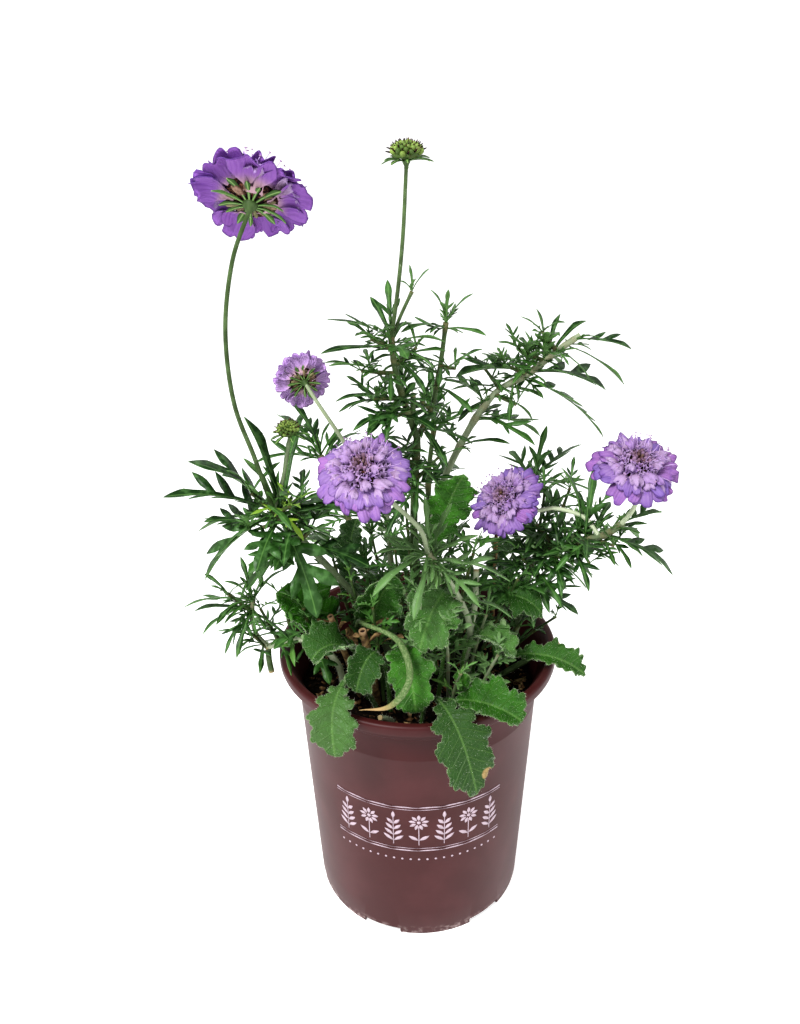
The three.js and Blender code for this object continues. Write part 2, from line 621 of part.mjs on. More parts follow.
// A ring of petals in one plate, whose hub stands in the dome. They part at the hub's corners, and each goes
// from the hub over its crest to its tip. The whole ring is turned by a part of its step.
function petalRing(radius, tipHeight, { count, turn, hub, crest, tip, lift, outline }, thickness) {
  const pattern = bladePattern(OUTLINES[outline]);
  const upper = [];
  const lower = [];
  const triangles = [];
  const polar = (reach, angle, height) => new THREE.Vector3(
    radius * reach * Math.cos(angle),
    radius * reach * Math.sin(angle),
    radius * height,
  );
  const add = (above, below) => {
    lower.push(below);
    return upper.push(above) - 1;
  };
  const addLevel = (point) => add(
    point.clone().addScaledVector(UP, thickness / 2),
    point.clone().addScaledVector(UP, -thickness / 2),
  );
  const step = (2 * Math.PI) / count;
  const [hubReach, hubHeight] = hub;
  const start = hubReach * Math.cos(step / 2);
  const centre = addLevel(polar(0, 0, hubHeight));
  const corners = [];
  for (let k = 0; k < count; k++) corners.push(addLevel(polar(hubReach, step * (turn + k - 0.5), hubHeight)));
  for (let k = 0; k < count; k++) {
    const angle = step * (turn + k);
    const height = tipHeight + tip[1] + (k % 2 ? lift : 0);
    const curve = new THREE.QuadraticBezierCurve3(
      polar(start, angle, hubHeight),
      polar(crest[0], angle, crest[1]),
      polar(tip[0], angle, height),
    );
    const across = new THREE.Vector3(-Math.sin(angle), Math.cos(angle), 0);
    const [above, below] = bladeFaces(curve, across, (tip[0] - start) * radius, pattern.points, thickness);
    const root = [corners[(k + 1) % count], corners[k]];
    const index = pattern.points.map((_, i) => root[i] ?? add(above[i], below[i]));
    triangles.push([centre, root[1], root[0]]);
    triangles.push(...pattern.triangles.map((corner) => corner.map((i) => index[i])));
  }
  return plateSolid(upper, lower, triangles);
}

// An open head, facing +Z with its receptacle at the origin: two rings of rays and a dome of florets
function bloomSolid({ radius, tip }) {
  const rings = [RAY_RING, FLORET_RING].map((ring) => petalRing(radius, tip, ring, PETAL_THICKNESS));
  const parts = [domeSolid(radius), ...rings];
  for (let k = 0; k < FLORET_COUNT; k++) {
    parts.push(cupFloret((k + 0.4) / FLORET_COUNT, k * GOLDEN_ANGLE, radius));
  }
  return wasm.Manifold.union(parts);
}

// A closed head: a low dome of round buds
function budSolid({ radius }) {
  const parts = [domeSolid(radius)];
  for (let k = 0; k < BEAD_COUNT; k++) {
    const { point } = domePoint((k + 0.3) / BEAD_COUNT, k * GOLDEN_ANGLE, radius);
    const bead = new THREE.OctahedronGeometry(BEAD_RADIUS * radius, 0);
    parts.push(solidOf(bead.translate(point.x, point.y, point.z)));
  }
  return wasm.Manifold.union(parts);
}

// The green receptacle under a head: a short cone that carries a ring of bracts
function receptacleSolid(radius) {
  const { sides, depth, edge, top, foot, shoulder } = RECEPTACLE;
  const cone = turned([[0, -depth], [foot * radius, -edge], [shoulder * radius, -top], [0, -top]], sides);
  const bracts = petalRing(radius, 0, BRACT_RING, LEAF_THICKNESS);
  return solidOf(cone).add(bracts.translate(0, 0, -LEAF_THICKNESS / 2));
}

function smoothCurve(points) {
  return new THREE.CatmullRomCurve3(points, false, 'catmullrom', 0.5);
}

// A smooth curve that goes straight down into the soil below its first point
function rootedCurve(points, depth = ROOT_DEPTH) {
  return smoothCurve([points[0].clone().addScaledVector(UP, -depth), ...points]);
}

// A hole in the soil, with clearance round a stem and below its foot
function holeSolid(points, radius) {
  const wide = radius + HOLE_CLEARANCE;
  return tube(rootedCurve(points, ROOT_DEPTH + HOLE_CLEARANCE), wide, wide);
}

function headPlacement(curve, { azimuth, rise }) {
  const turn = new THREE.Quaternion().setFromUnitVectors(UP, direction(azimuth, rise));
  const centre = curve.getPointAt(1).addScaledVector(direction(azimuth, rise), HEAD_LIFT);
  return new THREE.Matrix4().compose(centre, turn, new THREE.Vector3(1, 1, 1));
}

// A basal leaf on its petiole, as the solids that make it, with its hole in the soil
function basalLeaf([root, bend, foot, crest, tip, width, outline, face]) {
  const stalk = [root, bend, foot].map(vector);
  const petiole = tube(rootedCurve(stalk), ...PETIOLE_RADII);
  const curve = new THREE.QuadraticBezierCurve3(vector(foot), vector(crest), vector(tip));
  const chord = vector(tip).sub(vector(foot)).normalize();
  const across = new THREE.Vector3().crossVectors(vector(face), chord).normalize();
  const widest = Math.max(...OUTLINES[outline].map(([, half, , lobeHalf = 0]) => Math.max(half, lobeHalf)));
  const leaf = blade(curve, across, width / (2 * widest), OUTLINES[outline], LEAF_THICKNESS);
  return { parts: [petiole, leaf], hole: holeSolid(stalk, PETIOLE_RADII[0]) };
}

const crowd = new Crowd();
const holes = [];
const pot = potSolid();
crowd.add('pot', pot);
crowd.add('soil', soilSolid());

// Branches, heads and basal leaves stand first. The first branch of a stem stands in the soil.
const curves = {};
for (const [node, branches] of Object.entries(STEMS)) {
  curves[node] = branches.map(({ path, radii, head }, k) => {
    const points = path.map(vector);
    const curve = k === 0 ? rootedCurve(points) : smoothCurve(points);
    crowd.add(node, tube(curve, ...radii));
    if (k === 0) holes.push(holeSolid(points, radii[0]));
    if (head) {
      const form = BLOOMS[head] ?? BUDS[head];
      const { elements } = headPlacement(curve, form);
      crowd.add(node, receptacleSolid(form.radius).transform(elements));
      crowd.add(head, (head in BLOOMS ? bloomSolid(form) : budSolid(form)).transform(elements));
    }
    return curve;
  });
}
for (const [node, values] of Object.entries(BASAL_LEAVES)) {
  const { parts, hole } = basalLeaf(values);
  parts.forEach((part) => crowd.add(node, part));
  holes.push(hole);
}

// A leaf takes the first turn and tilt at which it stands clear, and one that never does is left out
function growLeaf(node, root, [azimuth, rise, length, outline]) {
  TRIES.some(([turn, tilt]) => {
    const { solid, outer } = stemLeaf(root, azimuth + turn, rise + tilt, length, outline);
    const isClear = crowd.isClear(node, solid, outer);
    if (isClear) crowd.add(node, solid, outer);
    return isClear;
  });
}

for (const [node, branches] of Object.entries(STEMS)) {
  branches.forEach(({ leaves = [] }, branch) => {
    for (const [along, ...leaf] of leaves) growLeaf(node, curves[node][branch].getPointAt(along), leaf);
  });
}

const group = new THREE.Group();

function addMesh(name, solid, colour, roughness) {
  const material = new THREE.MeshStandardMaterial({ color: colour, roughness, metalness: 0 });
  const mesh = new THREE.Mesh(geometryOf(solid), material);
  mesh.name = name;
  group.add(mesh);
}

addMesh('pot', pot, COLOURS.pot, 0.5);
addMesh('soil', crowd.joined('soil').subtract(wasm.Manifold.union(holes)), COLOURS.soil, 0.95);
for (const node of Object.keys(STEMS)) {
  addMesh(node, crowd.joined(node), node === 'dry_stem' ? COLOURS.dry : COLOURS.stem, 0.7);
}
for (const node of Object.keys(BASAL_LEAVES)) addMesh(node, crowd.joined(node), COLOURS.leaf, 0.7);
for (const node of Object.keys(BLOOMS)) addMesh(node, crowd.joined(node), COLOURS.petal, 0.8);
for (const node of Object.keys(BUDS)) addMesh(node, crowd.joined(node), COLOURS.bud, 0.8);

export default group;
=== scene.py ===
"""A butterfly blue scabious in bloom, in a round nursery pot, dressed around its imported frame.

Sizes and places are in millimetres and become metres as a mesh is made. The frame is +Z up, with its origin
at the middle of the pot's base and the front of the plant towards -Y. Directions of leaves are an azimuth,
anticlockwise from +X seen from above, and a rise above level, both in degrees.
"""

import json
import logging
import math
import random
from collections.abc import Iterable, Sequence
from dataclasses import dataclass, field, replace
from enum import Enum
from typing import Any

import bmesh
import bpy
import numpy as np
from bpy.types import Collection, Material, Mesh, Modifier, Node, NodeSocket, NodeTree, Object
from mathutils import Matrix, Vector
from mathutils.geometry import delaunay_2d_cdt
from mathutils.kdtree import KDTree

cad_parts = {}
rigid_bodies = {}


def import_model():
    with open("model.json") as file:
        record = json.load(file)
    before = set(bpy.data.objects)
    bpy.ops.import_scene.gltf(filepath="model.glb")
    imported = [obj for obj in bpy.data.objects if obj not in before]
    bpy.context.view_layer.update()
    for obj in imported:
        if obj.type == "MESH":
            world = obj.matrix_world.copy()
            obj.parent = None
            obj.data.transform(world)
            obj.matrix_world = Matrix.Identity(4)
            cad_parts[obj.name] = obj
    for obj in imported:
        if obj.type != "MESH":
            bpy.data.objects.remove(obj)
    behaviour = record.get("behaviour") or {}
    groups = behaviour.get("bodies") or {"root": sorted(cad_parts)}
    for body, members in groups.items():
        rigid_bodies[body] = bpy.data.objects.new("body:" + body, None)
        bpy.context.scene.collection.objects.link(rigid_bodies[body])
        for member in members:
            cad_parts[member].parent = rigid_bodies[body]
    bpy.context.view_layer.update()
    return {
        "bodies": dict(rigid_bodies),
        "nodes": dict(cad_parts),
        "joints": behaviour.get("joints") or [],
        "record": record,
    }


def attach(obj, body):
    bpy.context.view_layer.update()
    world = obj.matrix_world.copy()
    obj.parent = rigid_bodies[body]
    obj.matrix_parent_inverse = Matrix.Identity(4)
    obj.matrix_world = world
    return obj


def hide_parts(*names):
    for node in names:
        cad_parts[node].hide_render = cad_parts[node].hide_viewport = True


LOG = logging.getLogger("scabious")
MM = 0.001
UP = Vector((0, 0, 1))
GOLDEN_ANGLE = math.radians(137.5)
BODY = "root"
MATH = "ShaderNodeMath"
RANDOM = "FunctionNodeRandomValue"

Flat = tuple[float, float]
Point = tuple[float, float, float]
Colour = tuple[float, float, float, float]


class Cut(Enum):
    """The ways that a blade is cut, from a plain lance to broad blades with round teeth."""

    LANCE = "lance"
    SPRIG = "sprig"
    FINE = "fine"
    FEATHER = "feather"
    LOBED = "lobed"
    LYRATE = "lyrate"
    SPOON = "spoon"


LANCE, SPRIG, FINE, FEATHER, LOBED, LYRATE, SPOON = Cut

# Outlines of blades. Each rung is (distance along, half width), in parts of the blade's length for a stem's
# leaf and of its widest half for a broad one. A rung with two more numbers carries a lobe on each side, whose
# tip is at that distance and half width.
OUTLINES = {
    LANCE: [(0, 0.016), (0.6, 0.05), (1, 0)],
    SPRIG: [(0, 0.014), (0.34, 0.026, 0.56, 0.2), (0.44, 0.036), (0.6, 0.04), (1, 0)],
    FINE: [
        (0, 0.012), (0.24, 0.022, 0.44, 0.2), (0.33, 0.028), (0.45, 0.03, 0.72, 0.24), (0.54, 0.036),
        (0.68, 0.04), (1, 0),
    ],
    FEATHER: [
        (0, 0.01), (0.2, 0.02, 0.36, 0.17), (0.28, 0.024), (0.37, 0.028, 0.58, 0.23), (0.46, 0.03),
        (0.54, 0.032, 0.8, 0.2), (0.62, 0.036), (0.72, 0.038), (1, 0),
    ],
    LOBED: [
        (0, 0.012), (0.28, 0.026, 0.5, 0.23), (0.39, 0.04), (0.5, 0.05, 0.78, 0.25), (0.63, 0.065),
        (0.74, 0.07), (1, 0),
    ],
    LYRATE: [
        (0, 0.05), (0.13, 0.07, 0.2, 0.17), (0.27, 0.12, 0.38, 0.33), (0.48, 0.25, 0.6, 0.46),
        (0.7, 0.35, 0.81, 0.39), (0.9, 0.24), (0.975, 0.1),
    ],
    SPOON: [
        (0, 0.06), (0.14, 0.15, 0.3, 0.34), (0.42, 0.29, 0.56, 0.43), (0.68, 0.33, 0.83, 0.32), (0.975, 0.12),
    ],
}

# Half width of the end lobe and of the side lobes of a stem's leaf, in parts of its length
LOBE_WIDTHS = {
    LANCE: (0.068, 0), SPRIG: (0.062, 0.042), FINE: (0.052, 0.036), FEATHER: (0.056, 0.038),
    LOBED: (0.09, 0.056),
}
AXIL_CUTS = (LANCE, SPRIG, SPRIG, FINE)

# Turns and tilts that a leaf tries in this order, in degrees, until it stands clear of its neighbours
TRIES = [
    (0, 0), (10, 0), (-10, 0), (0, 10), (0, -10), (20, 0), (-20, 0), (10, 14), (-10, 14), (14, -14),
    (-14, -14), (30, 0), (-30, 0), (0, 24), (24, 20), (-24, 20), (0, -24), (42, 8), (-42, 8), (36, -20),
    (-36, -20),
]


@dataclass(frozen=True)
class Branch:
    """One branch of a stem: its path, its radii at both ends, its leaves as (place along the branch,
    azimuth, rise, length, cut), and the head that it carries."""

    path: Sequence[Point]
    radii: tuple[float, float]
    leaves: Sequence[tuple[float, float, float, float, Cut]] = ()
    head: str = ""


@dataclass(frozen=True)
class BasalLeaf:
    """A leaf from the crown: its petiole's path, then the crest and the tip of its blade, its full width,
    its cut, the way that its face looks, its lightness, how downy it is and where it has a brown spot."""

    petiole: Sequence[Point]
    crest: Point
    tip: Point
    width: float
    cut: Cut
    face: Point
    tint: float = 0.4
    pale: float = 0.1
    spot: Point | None = None


@dataclass(frozen=True)
class Shoot:
    """A leafy shoot of the mound: its path, its pairs of leaves, the length of the longest, their cut, their
    lightness and how downy they are."""

    path: Sequence[Point]
    pairs: int
    length: float
    cut: Cut
    tint: float = 0.4
    pale: float = 0.0


@dataclass(frozen=True)
class StemStyle:
    """How a stem looks: how downy each branch is, which branches end in a cut, the lightness and the down of
    its leaves, how many small leaves stand in each axil, and how much younger they may be."""

    downy: dict[int, float] = field(default_factory=dict)
    cut_ends: tuple[int, ...] = ()
    tint: tuple[float, float] = (0.1, 0.7)
    leaf_pale: float = 0.0
    axil: int = 3
    young: tuple[float, ...] = (0.0, 0.0, 0.3)


@dataclass(frozen=True)
class Bloom:
    """An open head: the way that it faces, its radius, the height of its ray tips in parts of that, and how
    pale its rays are."""

    azimuth: float
    rise: float
    radius: float
    tip: float
    pale: float = 0.0


@dataclass(frozen=True)
class Bud:
    """A closed head: the way that it faces and its radius."""

    azimuth: float
    rise: float
    radius: float


STEMS = {
    "left_stem": [
        Branch([(-14, -2, 148), (-24, -9, 195), (-47, -22, 238), (-74, -38, 283)], (2.3, 1.8), [
            (1, 185, 12, 57, FEATHER), (0.98, 200, 42, 56, LOBED), (0.99, 212, -30, 50, LOBED),
            (0.95, 170, -8, 50, FINE), (0.97, 308, -56, 56, LOBED), (0.98, 235, -58, 36, LANCE),
            (0.94, 28, -36, 42, FINE), (1, 28, -8, 42, LOBED), (0.96, 20, 35, 30, SPRIG),
            (0.97, 150, 72, 56, LANCE), (0.99, 225, 66, 40, LANCE), (0.95, 75, 58, 55, LANCE),
            (0.93, 110, 20, 36, FINE),
        ]),
        Branch([
            (-74, -38, 283), (-79, -50, 318), (-84, -61, 350), (-83, -69, 385), (-76, -75, 416),
            (-66, -79, 438),
        ], (1.2, 0.9), head="bloom_tall"),
        Branch([(-74, -38, 284), (-68, -35, 302), (-64, -31, 322)], (1.1, 0.9), head="bud_small"),
    ],
    "centre_stem": [
        Branch([(2, 8, 148), (-1, 9, 228), (-1, 10, 266), (1, 10, 305)], (2.6, 2), [
            (0.96, 190, -12, 46, FEATHER), (0.93, 150, -22, 44, LOBED),
        ]),
        Branch([(1, 10, 304), (-5, 5, 325), (-10, 0, 345), (-12, -4, 366)], (1.8, 1.4), [
            (0.97, 205, 22, 37, FINE), (0.88, 190, 0, 37, LANCE), (0.95, 120, 40, 30, LANCE),
            (1, 95, 50, 32, SPRIG), (0.9, 285, 8, 30, LOBED), (0.94, 338, 8, 30, LANCE),
            (0.8, 35, -18, 26, SPRIG), (0.38, 182, 6, 38, FINE), (0.3, 222, -2, 38, FINE),
            (0.5, 70, 10, 34, FINE),
        ]),
        Branch([(-12, -4, 365), (-8, -10, 391), (-5, -15, 418), (-3, -19, 449)], (1.1, 0.9), head="bud_tall"),
        Branch([(-12, -4, 364), (-7, -2, 376), (-1, 0, 388)], (0.9, 0.9), [
            (1, 120, 78, 13, LANCE), (1, 0, 50, 14, LANCE), (1, 210, 45, 9, LANCE),
        ]),
        Branch([(1, 10, 305), (-1, 8, 316), (-1, 6, 332)], (1.6, 1.5)),
        Branch([(1, 10, 305), (9, 18, 318), (14, 22, 342), (17, 20, 367)], (1.5, 1.2), [
            (0.99, 180, 68, 20, LANCE), (1, 275, 62, 22, SPRIG), (0.98, 0, 60, 22, SPRIG),
            (0.95, 332, -4, 24, LANCE), (0.96, 222, 6, 32, SPRIG), (0.56, 215, 18, 26, SPRIG),
            (0.52, 332, 2, 24, LANCE), (0.46, 316, -20, 28, LANCE), (0.1, 296, -26, 32, LANCE),
            (0.08, 22, -24, 34, FINE),
        ]),
    ],
    "woody_stem": [
        Branch([
            (20, 14, 148), (9, 26, 212), (14, 34, 258), (29, 38, 294), (46, 40, 320), (65, 42, 331),
            (81, 43, 344), (94, 44, 353),
        ], (2.7, 1.6), [
            (0.98, 338, -4, 33, LOBED), (0.96, 5, -35, 44, LANCE), (0.86, 10, -14, 50, LOBED),
            (0.84, 352, -34, 60, FEATHER), (0.9, 190, 78, 31, LANCE), (0.91, 60, 56, 28, LANCE),
            (0.88, 225, 40, 36, FINE), (0.92, 40, 30, 34, LANCE), (0.86, 200, 4, 46, LOBED),
            (0.87, 145, 4, 34, FINE), (0.9, 265, 55, 28, LOBED), (0.82, 255, -58, 24, LANCE),
            (0.73, 130, 50, 20, LANCE), (0.74, 190, 34, 30, LOBED), (0.7, 325, -14, 40, FINE),
            (0.69, 25, -18, 50, FINE), (0.62, 350, 8, 30, LANCE), (0.62, 140, 30, 34, FINE),
        ]),
    ],
    "right_stem": [
        Branch([
            (30, -4, 148), (45, -5, 162), (58, -2, 180), (64, 1, 206), (69, 0, 232), (83, -8, 245),
            (101, -24, 260), (109, -33, 272),
        ], (2.2, 1.6), [
            (0.8, 160, 78, 46, LANCE), (0.83, 80, 66, 42, SPRIG), (0.74, 140, 60, 40, LOBED),
            (0.86, 62, 16, 34, SPRIG), (0.99, 25, 2, 27, LOBED), (0.95, 290, 22, 26, LANCE),
            (0.91, 336, -20, 42, LOBED), (0.93, 45, -22, 36, SPRIG), (0.84, 258, 12, 34, LOBED),
            (0.77, 282, -24, 33, FINE), (0.6, 325, -10, 28, LANCE), (0.58, 275, -25, 32, LANCE),
            (0.67, 130, 18, 30, FINE), (0.7, 242, -6, 32, FINE), (0.66, 30, 10, 28, SPRIG),
        ]),
        Branch([(108, -32, 270), (113, -39, 286), (110, -42, 304)], (1.3, 1.1), head="bloom_right"),
        Branch([
            (100, -23, 259), (92, -15, 267), (77, -12, 271), (64, -13, 270), (52, -15, 275),
        ], (1.2, 1.1), head="bloom_middle"),
    ],
    "front_stem": [
        Branch([(22, -20, 148), (30, -30, 200), (22, -38, 232), (6, -46, 262)], (1.9, 1.5), [
            (1, 215, -20, 38, LANCE), (0.97, 250, -36, 36, LANCE), (1, 200, 12, 30, FINE),
            (1, 95, 62, 30, SPRIG), (0.96, 20, 22, 28, SPRIG), (0.95, 340, -4, 42, FINE),
            (0.92, 310, -18, 34, FINE), (0.94, 160, 22, 32, SPRIG), (0.98, 60, 40, 32, SPRIG),
            (0.7, 330, 0, 32, LANCE), (0.45, 5, 8, 28, FINE),
        ]),
        Branch([
            (6, -46, 262), (2, -54, 280), (-12, -63, 300), (-24, -69, 314),
        ], (1.3, 1.1), head="bloom_front"),
        Branch([(29, -29, 196), (33, -22, 214), (34, -14, 234)], (1.7, 1.6)),
    ],
    "small_bloom_stem": [
        Branch([
            (-14, 16, 148), (-16, 18, 205), (-18, 17, 256), (-38, 16, 296), (-54, 21, 321), (-62, 31, 330),
        ], (1.9, 1), [
            (0.5, 190, 20, 36, FINE), (0.5, 100, 20, 36, FINE), (0.62, 215, -6, 40, FEATHER),
            (0.62, 130, 10, 40, FINE), (0.3, 160, 22, 40, LOBED),
        ], head="bloom_small"),
    ],
    "rim_shoot": [
        Branch([
            (-44, -22, 148), (-46, -24, 174), (-57, -24, 190), (-72, -22, 193), (-88, -23, 188),
        ], (2, 1.9)),
        Branch([(-87, -23, 188), (-87, -24, 180), (-86, -25, 172)], (1.8, 1.8)),
        Branch([(-87, -23, 188), (-93, -28, 204), (-92, -30, 224)], (1.3, 1), [
            (1, 188, 2, 38, FINE), (0.97, 215, 55, 24, LANCE), (0.94, 212, -14, 32, LANCE),
            (0.9, 225, -48, 30, FINE), (0.86, 255, -45, 30, SPRIG), (1, 120, 60, 26, SPRIG),
            (0.98, 45, 30, 26, SPRIG),
        ]),
    ],
    "back_left_stem": [
        Branch([(-16, 30, 148), (-30, 44, 198), (-46, 56, 240), (-60, 66, 272)], (2.2, 1.5), [
            (1, 130, 20, 50, FEATHER), (0.98, 200, 8, 44, FINE), (0.97, 60, 10, 44, FINE),
            (1, 155, 60, 40, SPRIG), (0.72, 90, -5, 44, LOBED), (0.7, 180, -5, 42, LOBED),
        ]),
    ],
    "back_stem": [
        Branch([(10, 34, 148), (10, 48, 205), (8, 60, 255), (12, 70, 290)], (2.2, 1.4), [
            (1, 90, 15, 46, FEATHER), (0.98, 20, 15, 40, FINE), (0.97, 160, 15, 42, FINE),
            (1, 100, 65, 38, SPRIG), (0.76, 60, -5, 42, LOBED), (0.74, 135, -5, 42, LOBED),
        ]),
    ],
    "back_right_stem": [
        Branch([(26, 38, 148), (44, 50, 192), (60, 58, 228), (76, 66, 254)], (2.1, 1.5), [
            (1, 40, 15, 46, FEATHER), (0.98, 330, 5, 42, FINE), (0.97, 105, 10, 44, FINE),
            (1, 60, 62, 36, SPRIG), (0.72, 0, -10, 40, LOBED), (0.7, 90, -8, 40, LOBED),
        ]),
    ],
    "cut_stem_right": [
        Branch([(40, -16, 148), (48, -16, 160), (64, -16, 172), (83, -17, 186)], (2, 1.8)),
    ],
    "cut_stem_front": [
        Branch([(-14, -44, 148), (-17, -54, 160), (-21, -60, 166)], (1.6, 1.5)),
    ],
    "dry_stem": [
        Branch([
            (-40, 6, 148), (-36, -4, 190), (-28, -40, 214), (-10, -56, 214), (-4, -76, 205), (-14, -80, 190),
            (-31, -76, 184),
        ], (1.6, 1.1)),
    ],
}

BASAL_LEAVES = {
    "leaf_over_front_left": BasalLeaf(
        [(-24, -30, 148), (-34, -48, 186), (-39, -62, 193)], (-48, -86, 194), (-43, -95, 169), 27, LYRATE,
        (0.2, -0.6, 0.75), tint=0.3, pale=0.3,
    ),
    "leaf_left_curled": BasalLeaf(
        [(-30, -22, 148), (-30, -30, 184), (-37, -42, 200)], (-50, -52, 214), (-57, -58, 203), 26, SPOON,
        (-0.3, -0.5, 0.8), tint=0.2, pale=0.15,
    ),
    "leaf_left_low": BasalLeaf(
        [(-16, -34, 148), (-18, -40, 186), (-23, -50, 203)], (-30, -60, 206), (-33, -66, 188), 20, SPOON,
        (0.2, -0.7, 0.6), tint=0.3,
    ),
    "leaf_front_toothed": BasalLeaf(
        [(-8, -28, 148), (-10, -36, 188), (-9, -42, 200)], (-4, -62, 207), (-1, -70, 177), 25, SPOON,
        (0, -0.8, 0.6), tint=0.6,
    ),
    "leaf_dark_broad": BasalLeaf(
        [(-20, -12, 148), (-24, -16, 184), (-26, -20, 200)], (-24, -28, 222), (-12, -34, 242), 27, SPOON,
        (0.1, -0.9, 0.45), tint=0.3,
    ),
    "leaf_bright_left": BasalLeaf(
        [(-36, -6, 148), (-38, -8, 176), (-48, -14, 192)], (-60, -20, 214), (-78, -32, 230), 34, SPOON,
        (0.2, -0.7, 0.7), tint=1.0, pale=0.0,
    ),
    "leaf_upright_crenate": BasalLeaf(
        [(-30, 10, 148), (-34, 8, 184), (-38, 10, 204)], (-44, 10, 230), (-34, 8, 256), 20, SPOON,
        (-0.5, -0.6, 0.2), tint=0.2,
    ),
    "leaf_front_lobed": BasalLeaf(
        [(12, -24, 148), (16, -26, 190), (18, -36, 232)], (10, -50, 243), (1, -62, 212), 30, LYRATE,
        (0.1, -0.8, 0.6), tint=0.6, pale=0.25,
    ),
    "leaf_round_front": BasalLeaf(
        [(12, -44, 148), (14, -48, 168), (21, -58, 176)], (38, -74, 190), (55, -80, 179), 24, SPOON,
        (0.1, -0.5, 0.85), tint=0.55, pale=0.05,
    ),
    "leaf_over_front": BasalLeaf(
        [(2, -44, 148), (5, -50, 170), (10, -64, 182)], (22, -90, 190), (31, -95, 143), 32, LYRATE,
        (0.1, -0.8, 0.55), tint=0.15, pale=0.15, spot=(38, -93, 154),
    ),
    "leaf_over_right": BasalLeaf(
        [(34, -22, 148), (36, -24, 170), (45, -26, 181)], (74, -34, 197), (96, -37, 177), 15, LYRATE,
        (0, -0.4, 0.9), tint=0.3,
    ),
    "leaf_bright_upright": BasalLeaf(
        [(12, -2, 148), (8, 0, 200), (9, 4, 228)], (14, 4, 262), (27, 2, 286), 26, LYRATE,
        (0.1, -0.95, 0.3), tint=0.7,
    ),
    "leaf_rim_right": BasalLeaf(
        [(34, -8, 148), (34, -8, 184), (38, -12, 208)], (56, -20, 230), (71, -26, 211), 24, LYRATE,
        (0.2, -0.6, 0.8), tint=0.35,
    ),
    "leaf_right_low": BasalLeaf(
        [(26, -34, 148), (26, -34, 186), (30, -36, 202)], (42, -44, 214), (53, -52, 200), 17, LYRATE,
        (0.1, -0.5, 0.85), tint=0.45, pale=0.3,
    ),
    "leaf_small_front": BasalLeaf(
        [(26, -52, 148), (26, -50, 166), (24, -49, 175)], (22, -54, 187), (28, -60, 194), 11, SPOON,
        (-0.2, -0.7, 0.6), tint=1.0,
    ),
    "leaf_back_left": BasalLeaf(
        [(-30, 26, 148), (-36, 34, 182), (-44, 44, 200)], (-66, 64, 222), (-84, 78, 202), 32, LYRATE,
        (0, 0.4, 0.9),
    ),
    "leaf_back_middle": BasalLeaf(
        [(-4, 38, 148), (-6, 46, 184), (-8, 56, 200)], (-10, 80, 216), (-12, 98, 186), 30, SPOON,
        (0, 0.6, 0.8),
    ),
    "leaf_back_right": BasalLeaf(
        [(30, 28, 148), (38, 38, 180), (46, 46, 196)], (66, 62, 216), (82, 76, 192), 31, LYRATE,
        (0.2, 0.5, 0.85),
    ),
}

BLOOMS = {
    "bloom_tall": Bloom(azimuth=82, rise=44, radius=24.3, tip=0.12),
    "bloom_front": Bloom(azimuth=262, rise=60, radius=23.5, tip=-0.06, pale=0.15),
    "bloom_middle": Bloom(azimuth=222, rise=46, radius=21.5, tip=-0.06, pale=0.05),
    "bloom_right": Bloom(azimuth=275, rise=64, radius=22.5, tip=-0.06),
    "bloom_small": Bloom(azimuth=116, rise=12, radius=17.5, tip=0.2, pale=0.7),
}
BUDS = {
    "bud_tall": Bud(azimuth=270, rise=86, radius=14.9),
    "bud_small": Bud(azimuth=250, rise=74, radius=11.4),
}

STYLES = {
    "left_stem": StemStyle(downy={0: 0.3, 1: 0.05, 2: 0.3}, tint=(-0.1, 0.55), axil=1, young=(0.0, 0.2, 1.2)),
    "centre_stem": StemStyle(cut_ends=(4,), tint=(-0.1, 0.7), axil=3),
    "woody_stem": StemStyle(downy={0: 0.5}, tint=(-0.2, 0.5), axil=2),
    "right_stem": StemStyle(downy={0: 0.3, 1: 0.9, 2: 1.0}, tint=(-0.1, 0.6), axil=4),
    "front_stem": StemStyle(
        downy={0: 0.7, 1: 0.5, 2: 0.9}, cut_ends=(2,), tint=(0.4, 0.9), leaf_pale=0.45, axil=4,
    ),
    "small_bloom_stem": StemStyle(downy={0: 0.5}, axil=4),
    "rim_shoot": StemStyle(downy={0: 0.9, 1: 0.1, 2: 0.5}, cut_ends=(0, 1)),
    "cut_stem_right": StemStyle(cut_ends=(0,)),
    "cut_stem_front": StemStyle(downy={0: 0.6}, cut_ends=(0,)),
}

